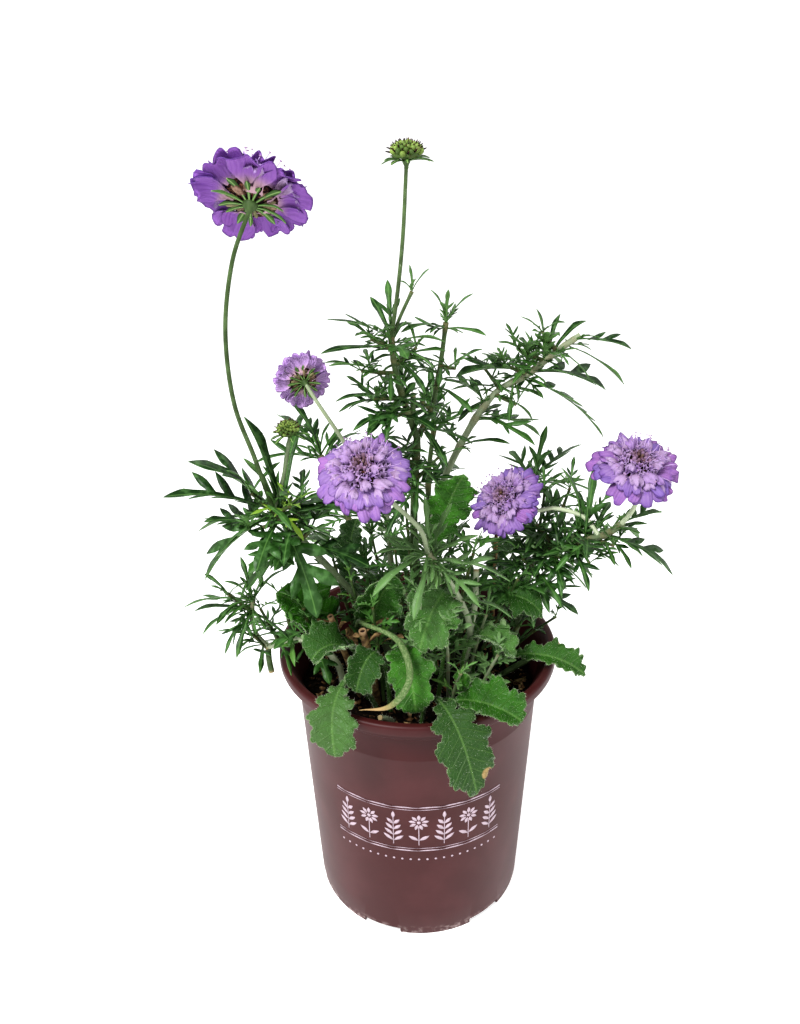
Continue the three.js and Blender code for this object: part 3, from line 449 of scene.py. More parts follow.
# Shoots that fill the mound between the stems
SHOOTS = [
    Shoot([(18, -30, 148), (17, -45, 195), (15, -60, 226)], 4, 26, LOBED, 0.6, 0.5),
    Shoot([(26, -24, 148), (33, -30, 190), (38, -40, 220)], 4, 26, SPRIG, 0.5, 0.4),
    Shoot([(30, -6, 148), (46, -10, 195), (57, -20, 231)], 5, 26, FINE),
    Shoot([(38, 0, 148), (58, -4, 185), (72, -12, 213)], 4, 24, FINE),
    Shoot([(16, -8, 148), (24, -18, 210), (31, -28, 252)], 5, 26, LOBED, 0.7),
    Shoot([(4, -10, 148), (8, -16, 205), (12, -24, 243)], 5, 26, LOBED, 0.6),
    Shoot([(-6, -4, 148), (-9, -6, 205), (-12, -12, 246)], 5, 26, FINE),
    Shoot([(-26, -20, 148), (-31, -26, 205), (-36, -34, 240)], 4, 20, SPRIG, 1.2),
    Shoot([(-20, -26, 148), (-22, -36, 195), (-24, -44, 228)], 4, 20, LOBED, 0.9),
    Shoot([(0, -30, 148), (1, -46, 205), (2, -58, 244)], 4, 22, FINE, 0.6, 0.5),
    Shoot([(30, -38, 148), (38, -44, 180), (44, -52, 202)], 4, 20, LOBED, 0.7, 0.5),
    Shoot([(18, -46, 148), (20, -56, 180), (23, -66, 200)], 4, 18, SPRIG, 1.1, 0.3),
    Shoot([(-30, 4, 148), (-42, 2, 200), (-50, 0, 240)], 5, 26, FINE, 0.3),
    Shoot([(42, 2, 148), (66, 0, 178), (82, -8, 198)], 3, 20, SPRIG),
    Shoot([(0, 6, 148), (-3, 6, 220), (-6, 5, 266)], 5, 28, FINE),
    Shoot([(10, 24, 148), (18, 30, 205), (26, 34, 250)], 5, 28, FINE, 0.3),
    Shoot([(-12, 24, 148), (-22, 32, 200), (-30, 40, 240)], 5, 28, LOBED, 0.3),
    Shoot([(36, 20, 148), (48, 26, 190), (60, 30, 220)], 4, 24, FINE, 0.3),
    Shoot([(-18, 8, 148), (-26, 6, 205), (-32, 2, 234)], 5, 27, LOBED, 0.5),
    Shoot([(-8, 14, 148), (-12, 14, 200), (-16, 12, 240)], 5, 28, FINE, 0.5, 0.2),
    Shoot([(8, 16, 148), (10, 16, 200), (12, 10, 240)], 5, 28, LOBED, 0.5, 0.3),
    Shoot([(22, 12, 148), (28, 12, 195), (34, 6, 236)], 5, 28, LOBED, 0.4, 0.2),
    Shoot([(-24, -8, 148), (-24, -10, 195), (-22, -14, 226)], 5, 26, LOBED, 0.8, 0.1),
    Shoot([(0, -18, 148), (-2, -24, 195), (-6, -32, 230)], 5, 26, LOBED, 0.7, 0.3),
]

# Side shoots that make the clusters dense: right, upper middle, left, woody tip and low left
SPRAYS = [Shoot([foot, end], *rest) for foot, end, *rest in (
    ((69, 0, 232), (73, 5, 272), 4, 34, FINE, 0.3), ((75, -3, 238), (87, 4, 276), 4, 30, SPRIG, 0.2),
    ((85, -9, 246), (100, -5, 266), 3, 28, FINE, 0.4), ((69, 0, 225), (60, -13, 240), 4, 30, FINE, 0.3),
    ((75, -4, 238), (79, -22, 246), 4, 32, LOBED, 0.2), ((90, -14, 251), (95, -26, 244), 3, 30, SPRIG, 0.3),
    ((66, 0, 215), (52, -16, 223), 4, 32, LOBED, 0.4), ((80, -6, 243), (68, -5, 258), 4, 32, FINE, 0.2),
    ((95, -18, 256), (107, -28, 256), 3, 26, SPRIG, 0.4), ((66, 0, 212), (78, -5, 212), 4, 28, SPRIG, 0.3),
    ((-12, -4, 360), (-22, -9, 366), 3, 30, LANCE, 0.3), ((-10, 0, 345), (-28, -4, 348), 4, 30, SPRIG, 0.2),
    ((-6, 4, 330), (-22, -3, 332), 4, 32, FINE, 0.3), ((-4, 6, 322), (-15, -8, 322), 4, 30, LOBED, 0.2),
    ((-10, 0, 350), (1, -4, 360), 3, 26, LANCE, 0.4), ((14, 22, 342), (22, 15, 343), 3, 24, LANCE, 0.2),
    ((9, 18, 318), (4, 10, 326), 3, 26, SPRIG, 0.3), ((-1, 9, 290), (-20, -3, 303), 4, 30, FINE, 0.2),
    ((0, 9, 280), (13, 10, 293), 3, 28, SPRIG, 0.3), ((-1, 9, 270), (-6, -4, 288), 4, 30, FINE, 0.2),
    ((-66, -33, 270), (-60, -35, 288), 3, 34, LOBED, 0.2),
    ((-62, -31, 263), (-56, -35, 270), 3, 34, LOBED, 0.3),
    ((-60, -30, 260), (-72, -44, 261), 3, 36, LOBED, 0.2),
    ((-73, -38, 282), (-64, -46, 290), 3, 22, SPRIG, 2.0),
    ((-70, -36, 277), (-86, -45, 275), 3, 36, LOBED, 0.2),
    ((-72, -37, 280), (-84, -43, 296), 3, 36, LANCE, 0.3), ((81, 43, 344), (72, 40, 356), 3, 24, LANCE, 0.3),
    ((75, 43, 338), (58, 38, 347), 4, 28, FINE, 0.2), ((65, 42, 331), (51, 37, 338), 4, 26, FINE, 0.3),
    ((50, 40, 322), (40, 37, 336), 3, 26, SPRIG, 0.3), ((46, 40, 320), (58, 32, 316), 3, 26, LANCE, 0.2),
    ((-60, -24, 190), (-63, -35, 222), 4, 28, LOBED, 0.5),
    ((-72, -22, 193), (-75, -30, 226), 4, 26, SPRIG, 0.9),
    ((-88, -23, 188), (-96, -33, 207), 3, 28, SPRIG, 0.3),
    ((-92, -29, 215), (-104, -33, 230), 3, 30, LANCE, 0.2),
    ((-80, -23, 191), (-88, -29, 218), 3, 28, FINE, 0.5),
)]

# Stumps of old stalks, as path and radius, and papery sheaths round them, as root, azimuth, rise and length
STUMPS = [
    ([(-34, -20, 148), (-43, -31, 195), (-48, -37, 218)], 1.8),
    ([(-24, -26, 148), (-27, -38, 190), (-30, -44, 213)], 2.2),
    ([(49, 36, 148), (50, 38, 240), (50, 38, 250)], 1.2),
]
SHEATHS = [
    ((-46, -34, 210), 200, 30, 13), ((-44, -32, 205), 300, 50, 15), ((-29, -41, 205), 240, 40, 14),
    ((-28, -40, 200), 330, 50, 16), ((-29, -42, 210), 20, 25, 16), ((-27, -38, 195), 280, 10, 15),
    ((-20, -30, 195), 320, 35, 20), ((-34, -28, 190), 230, 60, 22), ((60, 41.5, 328), 100, 80, 9),
]

# Sizes of the source that the pieces keep to
ROOT_DEPTH = 9
LEAF_ARCH = 0.16
HEAD_LIFT = 2
TIP_OFFSET = 0.35
MATCH_REACH = 0.05
PETIOLE_RADII = (1.5, 1.0)
BLADE_THICKNESS = 0.5

# Places of the points along a side lobe and along the end lobe of a stem's leaf
LOBE_SHARES = (0.2, 0.4, 0.6, 0.8)
END_SHARES = (0.1, 0.22, 0.36, 0.5, 0.65, 0.8, 0.92)

# Least and greatest tilt and turn of a loose small piece, in radians
LOOSE = {0: (-0.6, -0.6, 0), 1: (0.6, 0.6, 6.28)}


def linear(hex_colour: str) -> Colour:
    """Turns an sRGB hex colour to linear.

    Args:
        hex_colour: six hex digits, without a hash.

    Returns:
        Red, green, blue and alpha, in linear light.
    """
    channels = [int(hex_colour[k:k + 2], 16) / 255 for k in (0, 2, 4)]
    return (*(c / 12.92 if c <= 0.04045 else ((c + 0.055) / 1.055) ** 2.4 for c in channels), 1.0)


def feed(tree: NodeTree, node: Node, inputs: dict | Sequence) -> None:
    """Gives inputs of a node their values or links.

    Args:
        tree: the node's tree.
        node: the node.
        inputs: by name or number, or in order: a value, a socket, or a node for its first open output.
    """
    for key, value in inputs.items() if isinstance(inputs, dict) else enumerate(inputs):
        if isinstance(value, Node):
            value = next(socket for socket in value.outputs if socket.enabled)
        if isinstance(value, NodeSocket):
            tree.links.new(value, node.inputs[key])
        else:
            node.inputs[key].default_value = value


def add_node(tree: NodeTree, kind: str, inputs: dict | Sequence = (), **settings: Any) -> Node:
    """Adds a node with its settings and links.

    Args:
        tree: the tree that gets the node.
        kind: Blender's name of the kind of node.
        inputs: what its inputs are fed.
        settings: the node's own settings.

    Returns:
        The new node.
    """
    node = tree.nodes.new(kind)
    for name, value in settings.items():
        setattr(node, name, value)
    feed(tree, node, inputs)
    return node


def direction(azimuth: float, rise: float) -> Vector:
    """Gives the unit vector of an azimuth and a rise, both in degrees."""
    turn, lift = math.radians(azimuth), math.radians(rise)
    return Vector((math.cos(lift) * math.cos(turn), math.cos(lift) * math.sin(turn), math.sin(lift)))


def smoothstep(value: float, low: float = 0.0, high: float = 1.0) -> float:
    """Rises smoothly from 0 at low to 1 at high."""
    share = min(1.0, max(0.0, (value - low) / (high - low)))
    return share * share * (3 - 2 * share)


def circle(radius: float, sides: int, middle: tuple[float, float] = (0.0, 0.0)) -> list[tuple[float, float]]:
    """Gives the points of a flat circle, anticlockwise from +X."""
    turns = [math.tau * k / sides for k in range(sides)]
    return [(middle[0] + radius * math.cos(a), middle[1] + radius * math.sin(a)) for a in turns]


class Path:
    """A smooth curve through points, read by the share of its length."""

    DIVISIONS = 200
    NEAR = 0.01

    def __init__(self, points: Sequence[Point], rooted: bool = False) -> None:
        """Lays the curve.

        Args:
            points: what it goes through.
            rooted: whether it first comes straight up out of the soil.
        """
        self.points = [Vector(point) for point in points]
        if rooted:
            self.points.insert(0, self.points[0] - UP * ROOT_DEPTH)
        samples = [self._at(k / self.DIVISIONS) for k in range(self.DIVISIONS + 1)]
        steps = [(b - a).length for a, b in zip(samples, samples[1:])]
        self.reach = np.concatenate([[0.0], np.cumsum(steps)])
        self.length = float(self.reach[-1])

    def _at(self, t: float) -> Vector:
        """Gives the point at a parameter from 0 to 1, in equal parts from point to point.

        Args:
            t: the parameter.

        Returns:
            The point.
        """
        last = len(self.points) - 1
        place = min(int(t * last), last - 1)
        weight = t * last - place
        here, there = self.points[place], self.points[place + 1]
        before = self.points[place - 1] if place else here * 2 - there
        after = self.points[place + 2] if place + 2 <= last else there * 2 - here
        start, end = (there - before) * 0.5, (after - here) * 0.5
        square, cube = weight ** 2, weight ** 3
        return (here * (2 * cube - 3 * square + 1) + there * (3 * square - 2 * cube)
                + start * (cube - 2 * square + weight) + end * (cube - square))

    def at(self, share: float) -> Vector:
        """Gives the point at a share of the length."""
        place = float(np.interp(share * self.length, self.reach, np.arange(self.DIVISIONS + 1)))
        return self._at(place / self.DIVISIONS)

    def ahead(self, share: float) -> Vector:
        """Gives the way that the curve runs at a share of the length."""
        return self.at(min(1.0, share + self.NEAR)) - self.at(max(0.0, share - self.NEAR))


class Bend:
    """A quadratic curve from a foot over a crest to a tip."""

    def __init__(self, foot: Vector, crest: Vector, tip: Vector) -> None:
        """Keeps the three points."""
        self.foot, self.crest, self.tip = foot, crest, tip

    def at(self, t: float) -> Vector:
        """Gives the point at a parameter from 0 to 1."""
        return self.foot * (1 - t) ** 2 + self.crest * 2 * t * (1 - t) + self.tip * t * t

    def tangent(self, t: float) -> Vector:
        """Gives the unit tangent at a parameter from 0 to 1."""
        return ((self.crest - self.foot) * (1 - t) + (self.tip - self.crest) * t).normalized()

    def length(self) -> float:
        """Measures the curve by twenty chords."""
        stops = [self.at(k / 20) for k in range(21)]
        return sum((b - a).length for a, b in zip(stops, stops[1:]))


class Shape:
    """Points, faces and point values of a mesh in the making, in millimetres."""

    def __init__(self) -> None:
        """Starts with nothing."""
        self.points: list[np.ndarray] = []
        self.faces: list[tuple[int, ...]] = []
        self.values: dict[str, list[np.ndarray]] = {}
        self.count = 0

    def add(self, points: Sequence, faces: Iterable[Sequence[int]], **values: Any) -> "Shape":
        """Adds a body.

        Args:
            points: its points.
            faces: its faces, as numbers of its own points.
            values: a value for each point, or one for all.

        Returns:
            The shape itself.
        """
        size = len(points)
        for name in {**self.values, **values}:
            if name not in self.values:
                self.values[name] = [np.zeros(self.count)]
            self.values[name].append(np.broadcast_to(np.asarray(values.get(name, 0.0), float), (size,)))
        self.points.append(np.array(points, float))
        self.faces.extend(tuple(int(k) + self.count for k in face) for face in faces)
        self.count += size
        return self

    def add_plate(self, spots: Sequence[Vector], normals: Sequence[Vector], thickness: float,
                  faces: Iterable[Sequence[int]], **values: Any) -> "Shape":
        """Adds a thin closed plate on both sides of a sheet.

        Args:
            spots: the sheet's points.
            normals: the way that its upper side looks at each point.
            thickness: the plate's thickness.
            faces: the plate's faces, from plate_faces.
            values: a value for each point of the sheet or of both sides, or one for all.

        Returns:
            The shape itself.
        """
        size = len(spots)
        points = [spot + normal * half for half in (thickness / 2, -thickness / 2)
                  for spot, normal in zip(spots, normals)]
        both = {key: np.tile(value, 2) if np.size(value) == size else value for key, value in values.items()}
        return self.add(points, faces, under=np.repeat([0.0, 1.0], size), **both)

    def mesh(self, name: str) -> Mesh:
        """Makes the mesh in metres, shaded smooth.

        Args:
            name: the mesh's name.

        Returns:
            The mesh, with each value as a point attribute.
        """
        mesh = bpy.data.meshes.new(name)
        mesh.from_pydata((np.concatenate(self.points) * MM).tolist(), [], self.faces)
        for key, parts in self.values.items():
            mesh.attributes.new(key, "FLOAT", "POINT").data.foreach_set("value", np.concatenate(parts))
        mesh.polygons.foreach_set("use_smooth", [True] * len(mesh.polygons))
        mesh.update()
        return mesh

    def piece(self, name: str, finish: "Finish") -> Object:
        """Makes an object with the shape's mesh and a finish."""
        return new_piece(name, self.mesh(name), finish.build())


def skin(rings: Sequence[Sequence[int]]) -> list[list[int]]:
    """Joins closed rings of points with faces that look out where the rings rise anticlockwise.

    Args:
        rings: the numbers of each ring's points, or one number again and again for a pole.

    Returns:
        The faces.
    """
    faces = []
    for low, high in zip(rings, rings[1:]):
        for k in range(len(low)):
            n = (k + 1) % len(low)
            faces.append(list(dict.fromkeys((low[k], low[n], high[n], high[k]))))
    return faces


def plate_faces(upper: Sequence[Sequence[int]], size: int) -> list[Sequence[int]]:
    """Makes the faces of a thin closed plate from those of its upper side.

    Args:
        upper: the upper side's faces.
        size: how many points that side has, before as many of the lower side.

    Returns:
        The faces of both sides and of the rim between them.
    """
    lower = [[k + size for k in reversed(face)] for face in upper]
    sides = {side for face in upper for side in zip(face, (*face[1:], face[0]))}
    return [*upper, *lower, *((a, a + size, b + size, b) for a, b in sides if (b, a) not in sides)]


def new_piece(name: str, mesh: Mesh, material: Material | None = None) -> Object:
    """Makes an object at the origin.

    Args:
        name: the piece's name.
        mesh: its mesh, in place.
        material: its only material, where the mesh has none.

    Returns:
        The object, in the scene.
    """
    if material is not None:
        mesh.materials.clear()
        mesh.materials.append(material)
    piece = bpy.data.objects.new(name, mesh)
    bpy.context.scene.collection.objects.link(piece)
    return piece


def bake(piece: Object, modifier: Modifier) -> None:
    """Turns a modifier's result to the piece's plain mesh and removes the modifier.

    Args:
        piece: the piece.
        modifier: its only modifier.
    """
    graph = bpy.context.evaluated_depsgraph_get()
    plain = bpy.data.meshes.new_from_object(piece.evaluated_get(graph), depsgraph=graph)
    piece.modifiers.remove(modifier)
    raw, piece.data = piece.data, plain
    bpy.data.meshes.remove(raw)
    plain.name = piece.name


def settle(piece: Object, nodes: Sequence[str] = ()) -> None:
    """Says what a finished piece rides on and replaces, and reports it.

    Args:
        piece: the piece.
        nodes: the frame's nodes that the piece stands for.
    """
    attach(piece, BODY)
    if nodes:
        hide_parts(*nodes)
    LOG.info("%s: %d faces", piece.name, len(piece.data.polygons))


class GeometryRecipe:
    """A Geometry Nodes tree with named inputs, run once on a mesh to make a plain mesh."""

    SOCKETS = {
        float: "NodeSocketFloat", int: "NodeSocketInt", Material: "NodeSocketMaterial",
        Collection: "NodeSocketCollection",
    }

    def __init__(self, name: str, **inputs: type) -> None:
        """Starts a tree.

        Args:
            name: the tree's name.
            inputs: the kind of each named input, besides the material that every tree sets.
        """
        self.tree = bpy.data.node_groups.new(name, "GeometryNodeTree")
        face = self.tree.interface
        face.new_socket("geometry", in_out="INPUT", socket_type="NodeSocketGeometry")
        self.identifiers = {
            key: face.new_socket(key, in_out="INPUT", socket_type=self.SOCKETS[kind]).identifier
            for key, kind in (inputs | {"material": Material}).items()
        }
        face.new_socket("geometry", in_out="OUTPUT", socket_type="NodeSocketGeometry")
        self.inlet = self.tree.nodes.new("NodeGroupInput")

    def __getitem__(self, key: str) -> NodeSocket:
        """Gives the socket of a named input."""
        return self.inlet.outputs[key]

    def add(self, kind: str, inputs: dict | Sequence = (), **settings: Any) -> Node:
        """Adds a node to the tree."""
        return add_node(self.tree, kind, inputs, **settings)

    def place_kit(self, points: Node, stance: dict | None = None, **marks: Any) -> Node:
        """Args:
            points: the points.
            stance: the pieces' rotation and scale.
            marks: values that each piece keeps, by name.

        Returns:
            The node with the placed pieces.
        """
        kit = self.add("GeometryNodeCollectionInfo", {
            "Collection": self["kit"], "Separate Children": True, "Reset Children": True,
        })
        placed = self.add("GeometryNodeInstanceOnPoints", {
            "Points": points, "Instance": kit, "Pick Instance": True, **(stance or {}),
        })
        for name, value in marks.items():
            placed = self.add("GeometryNodeStoreNamedAttribute", {
                0: placed, "Name": name, "Value": value,
            }, data_type="FLOAT", domain="INSTANCE")
        return placed

    def finish(self, geometry: Node) -> "GeometryRecipe":
        """Ends the tree: instances made real, and the material set.

        Args:
            geometry: what the tree has made.

        Returns:
            The recipe itself.
        """
        real = self.add("GeometryNodeRealizeInstances", [geometry])
        dressed = self.add("GeometryNodeSetMaterial", {0: real, "Material": self["material"]})
        self.add("NodeGroupOutput", [dressed])
        return self

    def run(self, name: str, finish: "Finish", values: dict[str, Any], mesh: Mesh | None = None,
            kit: Sequence[Shape] = ()) -> Object:
        """Runs the tree.

        Args:
            name: the piece's name.
            finish: its finish.
            values: the value of each other named input.
            mesh: what the tree starts from, where it needs that.
            kit: variants of the small piece that the tree places.

        Returns:
            An object with the plain mesh and no modifier.
        """
        store = bpy.data.collections.new(f"{name}_kit")
        for k, shape in enumerate(kit):
            part = f"{store.name}_{k}"
            store.objects.link(bpy.data.objects.new(part, shape.mesh(part)))
        if kit:
            values = {**values, "kit": store}
        piece = new_piece(name, mesh or bpy.data.meshes.new(name))
        modifier = piece.modifiers.new(name, "NODES")
        modifier.node_group = self.tree
        for key, value in {**values, "material": finish.build()}.items():
            modifier[self.identifiers[key]] = value
        bake(piece, modifier)
        for part in list(store.objects):
            bpy.data.meshes.remove(part.data)
        bpy.data.collections.remove(store)
        return piece


def tube_recipe() -> GeometryRecipe:
    """Makes the recipe of round stems: lines with a radius at each point become closed tubes.

    Returns:
        The recipe.
    """
    recipe = GeometryRecipe("round_stems", sides=int)
    lines = recipe.add("GeometryNodeMeshToCurve", [recipe["geometry"]])
    ring = recipe.add("GeometryNodeCurvePrimitiveCircle", {"Resolution": recipe["sides"], "Radius": 1.0})
    radius = recipe.add("GeometryNodeInputNamedAttribute", {"Name": "radius"}, data_type="FLOAT")
    tubes = recipe.add("GeometryNodeCurveToMesh", {
        "Curve": lines, "Profile Curve": ring, "Scale": radius, "Fill Caps": True,
    })
    return recipe.finish(recipe.add("GeometryNodeSetShadeSmooth", {0: tubes, "Shade Smooth": True}))


def hair_recipe() -> GeometryRecipe:
    """Makes the recipe of short hairs: a hair stands on each of many points of a surface.

    Returns:
        The recipe.
    """
    recipe = GeometryRecipe("short_hairs", density=float, length=float, width=float, seed=int)
    weight = recipe.add("GeometryNodeInputNamedAttribute", {"Name": "hairy"}, data_type="FLOAT")
    density = recipe.add(MATH, [weight, recipe["density"]], operation="MULTIPLY")
    spots = recipe.add("GeometryNodeDistributePointsOnFaces", {
        "Mesh": recipe["geometry"], "Density": density, "Seed": recipe["seed"],
    }, distribute_method="RANDOM")
    hair = recipe.add("GeometryNodeMeshCone", {
        "Vertices": 3, "Radius Top": 0.0, "Radius Bottom": recipe["width"], "Depth": recipe["length"],
    }, fill_type="NGON")
    lean = recipe.add(RANDOM, {**LOOSE, "Seed": recipe["seed"]}, data_type="FLOAT_VECTOR")
    turn = recipe.add("FunctionNodeRotateRotation", [spots.outputs["Rotation"], lean], rotation_space="LOCAL")
    size = recipe.add(RANDOM, {2: 0.6, 3: 1.3}, data_type="FLOAT")
    return recipe.finish(recipe.add("GeometryNodeInstanceOnPoints", {
        "Points": spots, "Instance": hair, "Rotation": turn, "Scale": size,
    }))


def wrap_recipe() -> GeometryRecipe:
    """Makes the recipe of the print: flat motifs side by side, wrapped round the pot's cone from its front.

    Returns:
        The recipe.
    """
    recipe = GeometryRecipe("wrapped_print", count=int, pitch=float, height=float, radius=float, slope=float,
                            kit=Collection)
    middle = recipe.add(MATH, [recipe["count"], 0.5, -0.5], operation="MULTIPLY_ADD")
    step = recipe.add(MATH, [recipe.add("GeometryNodeInputIndex"), middle], operation="SUBTRACT")
    aside = recipe.add(MATH, [step, recipe["pitch"]], operation="MULTIPLY")
    row = recipe.add("GeometryNodePoints", {
        "Count": recipe["count"], "Position": recipe.add("ShaderNodeCombineXYZ", [aside]),
    })
    flat = recipe.add("GeometryNodeRealizeInstances", [recipe.place_kit(row)])
    across, up, out = recipe.add("ShaderNodeSeparateXYZ", [recipe.add("GeometryNodeInputPosition")]).outputs
    height = recipe.add(MATH, [up, recipe["height"]], operation="ADD")
    wall = recipe.add(MATH, [height, recipe["slope"], recipe["radius"]], operation="MULTIPLY_ADD")
    radius = recipe.add(MATH, [wall, out], operation="ADD")
    front = recipe.add("ShaderNodeCombineXYZ", {
        "Y": recipe.add(MATH, [radius, -1.0], operation="MULTIPLY"), "Z": height,
    })
    turned = recipe.add("ShaderNodeVectorRotate", {
        "Vector": front, "Angle": recipe.add(MATH, [across, wall], operation="DIVIDE"),
    }, rotation_type="Z_AXIS")
    return recipe.finish(recipe.add("GeometryNodeSetPosition", {0: flat, "Position": turned}))


def scatter_recipe() -> GeometryRecipe:
    """Returns:
        The recipe.
    """
    recipe = GeometryRecipe("loose_chips", density=float, smallest=float, largest=float, seed=int,
                            kit=Collection)
    seed = recipe["seed"]
    spots = recipe.add("GeometryNodeDistributePointsOnFaces", {
        "Mesh": recipe["geometry"], "Density": recipe["density"], "Seed": seed,
    }, distribute_method="RANDOM")
    turn = recipe.add(RANDOM, {**LOOSE, "Seed": seed}, data_type="FLOAT_VECTOR")
    size = recipe.add(RANDOM, {2: recipe["smallest"], 3: recipe["largest"], "Seed": seed}, data_type="FLOAT")
    tint = recipe.add(RANDOM, {2: 0.0, 3: 1.0, "Seed": 5}, data_type="FLOAT")
    return recipe.finish(recipe.place_kit(spots, {"Rotation": turn, "Scale": size}, tint=tint))


def ring_recipe() -> GeometryRecipe:
    """Returns:
        The recipe.
    """
    recipe = GeometryRecipe("petal_ring", count=int, turn=float, lean=float, jitter=float, seed=int,
                            kit=Collection)
    seed = recipe["seed"]
    step = recipe.add(MATH, [math.tau, recipe["count"]], operation="DIVIDE")
    free, other = (recipe.add(RANDOM, {2: -1.0, 3: 1.0, "Seed": own}, data_type="FLOAT")
                   for own in (seed, recipe.add(MATH, [seed, 7], operation="ADD")))
    index = recipe.add("GeometryNodeInputIndex")
    place = recipe.add(MATH, [free, recipe["jitter"], index], operation="MULTIPLY_ADD")
    spin = recipe.add("ShaderNodeCombineXYZ", {
        "Y": recipe.add(MATH, [other, recipe["lean"]], operation="MULTIPLY"),
        "Z": recipe.add(MATH, [place, step, recipe["turn"]], operation="MULTIPLY_ADD"),
    })
    size = recipe.add(MATH, [other, 0.05, 1.0], operation="MULTIPLY_ADD")
    tint = recipe.add(MATH, [free, 0.5, 0.5], operation="MULTIPLY_ADD")
    points = recipe.add("GeometryNodePoints", [recipe["count"]])
    return recipe.finish(recipe.place_kit(points, {"Rotation": spin, "Scale": size}, tint=tint))


def dome_recipe() -> GeometryRecipe:
    """Returns:
        The recipe.
    """
    recipe = GeometryRecipe("dome_spiral", count=int, first=float, last=float, radius=float, foot=float,
                            height=float, inner=float, outer=float, lean=float, seed=int,
                            kit=Collection)
    index = recipe.add("GeometryNodeInputIndex")
    radius, height = recipe["radius"], recipe["height"]
    part = recipe.add(MATH, [
        recipe.add(MATH, [index, 0.5], operation="ADD"), recipe["count"],
    ], operation="DIVIDE")
    span = recipe.add(MATH, [recipe["last"], recipe["first"]], operation="SUBTRACT")
    share = recipe.add(MATH, [part, span, recipe["first"]], operation="MULTIPLY_ADD")
    root = recipe.add(MATH, [share], operation="SQRT")
    reach = recipe.add(MATH, [root, 0.95], operation="MULTIPLY")
    rise = recipe.add(MATH, [recipe.add(MATH, [reach], operation="ARCSINE")], operation="COSINE")
    turn = recipe.add(MATH, [index, GOLDEN_ANGLE], operation="MULTIPLY")
    place, normal = (
        recipe.add("ShaderNodeVectorRotate", {
            "Vector": recipe.add("ShaderNodeCombineXYZ", {"X": out, "Z": up}), "Angle": turn,
        }, rotation_type="Z_AXIS")
        for out, up in (
            (recipe.add(MATH, [reach, radius], operation="MULTIPLY"),
             recipe.add(MATH, [rise, height, recipe["foot"]], operation="MULTIPLY_ADD")),
            (recipe.add(MATH, [reach, radius], operation="DIVIDE"),
             recipe.add(MATH, [rise, height], operation="DIVIDE")),
        )
    )
    upright = recipe.add("FunctionNodeAlignRotationToVector", {"Vector": normal}, axis="Z")
    free = recipe.add(RANDOM, {
        0: (-1, -1, -3.14), 1: (1, 1, 3.14), "Seed": recipe["seed"],
    }, data_type="FLOAT_VECTOR")
    tilt = recipe.add("ShaderNodeVectorMath", [
        free, recipe.add("ShaderNodeCombineXYZ", [recipe["lean"], recipe["lean"], 1.0]),
    ], operation="MULTIPLY")
    stance = recipe.add("FunctionNodeRotateRotation", [upright, tilt], rotation_space="LOCAL")
    first, second, _ = recipe.add("ShaderNodeSeparateXYZ", [free]).outputs
    size = recipe.add(MATH, [
        recipe.add("ShaderNodeMapRange", {0: part, 3: recipe["inner"], 4: recipe["outer"]}),
        recipe.add(MATH, [first, 0.13, 1.0], operation="MULTIPLY_ADD"),
    ], operation="MULTIPLY")
    tint = recipe.add(MATH, [second, 0.5, 0.5], operation="MULTIPLY_ADD")
    points = recipe.add("GeometryNodePoints", {"Count": recipe["count"], "Position": place})
    placed = recipe.place_kit(points, {"Rotation": stance, "Scale": size}, tint=tint, outward=part)
    return recipe.finish(placed)


@dataclass(frozen=True)
class Coat:
    """A colour over a surface, where a point value or a cloudy pattern is high.

    The value names a point attribute, the finish's own "pattern" or the "height" in millimetres. Without one
    the coat lies in clouds of the given grain. It fades in from low to high, up to its share.
    """

    colour: str
    value: str = ""
    low: float = 0
    high: float = 1
    share: float = 1
    grain: float = 5


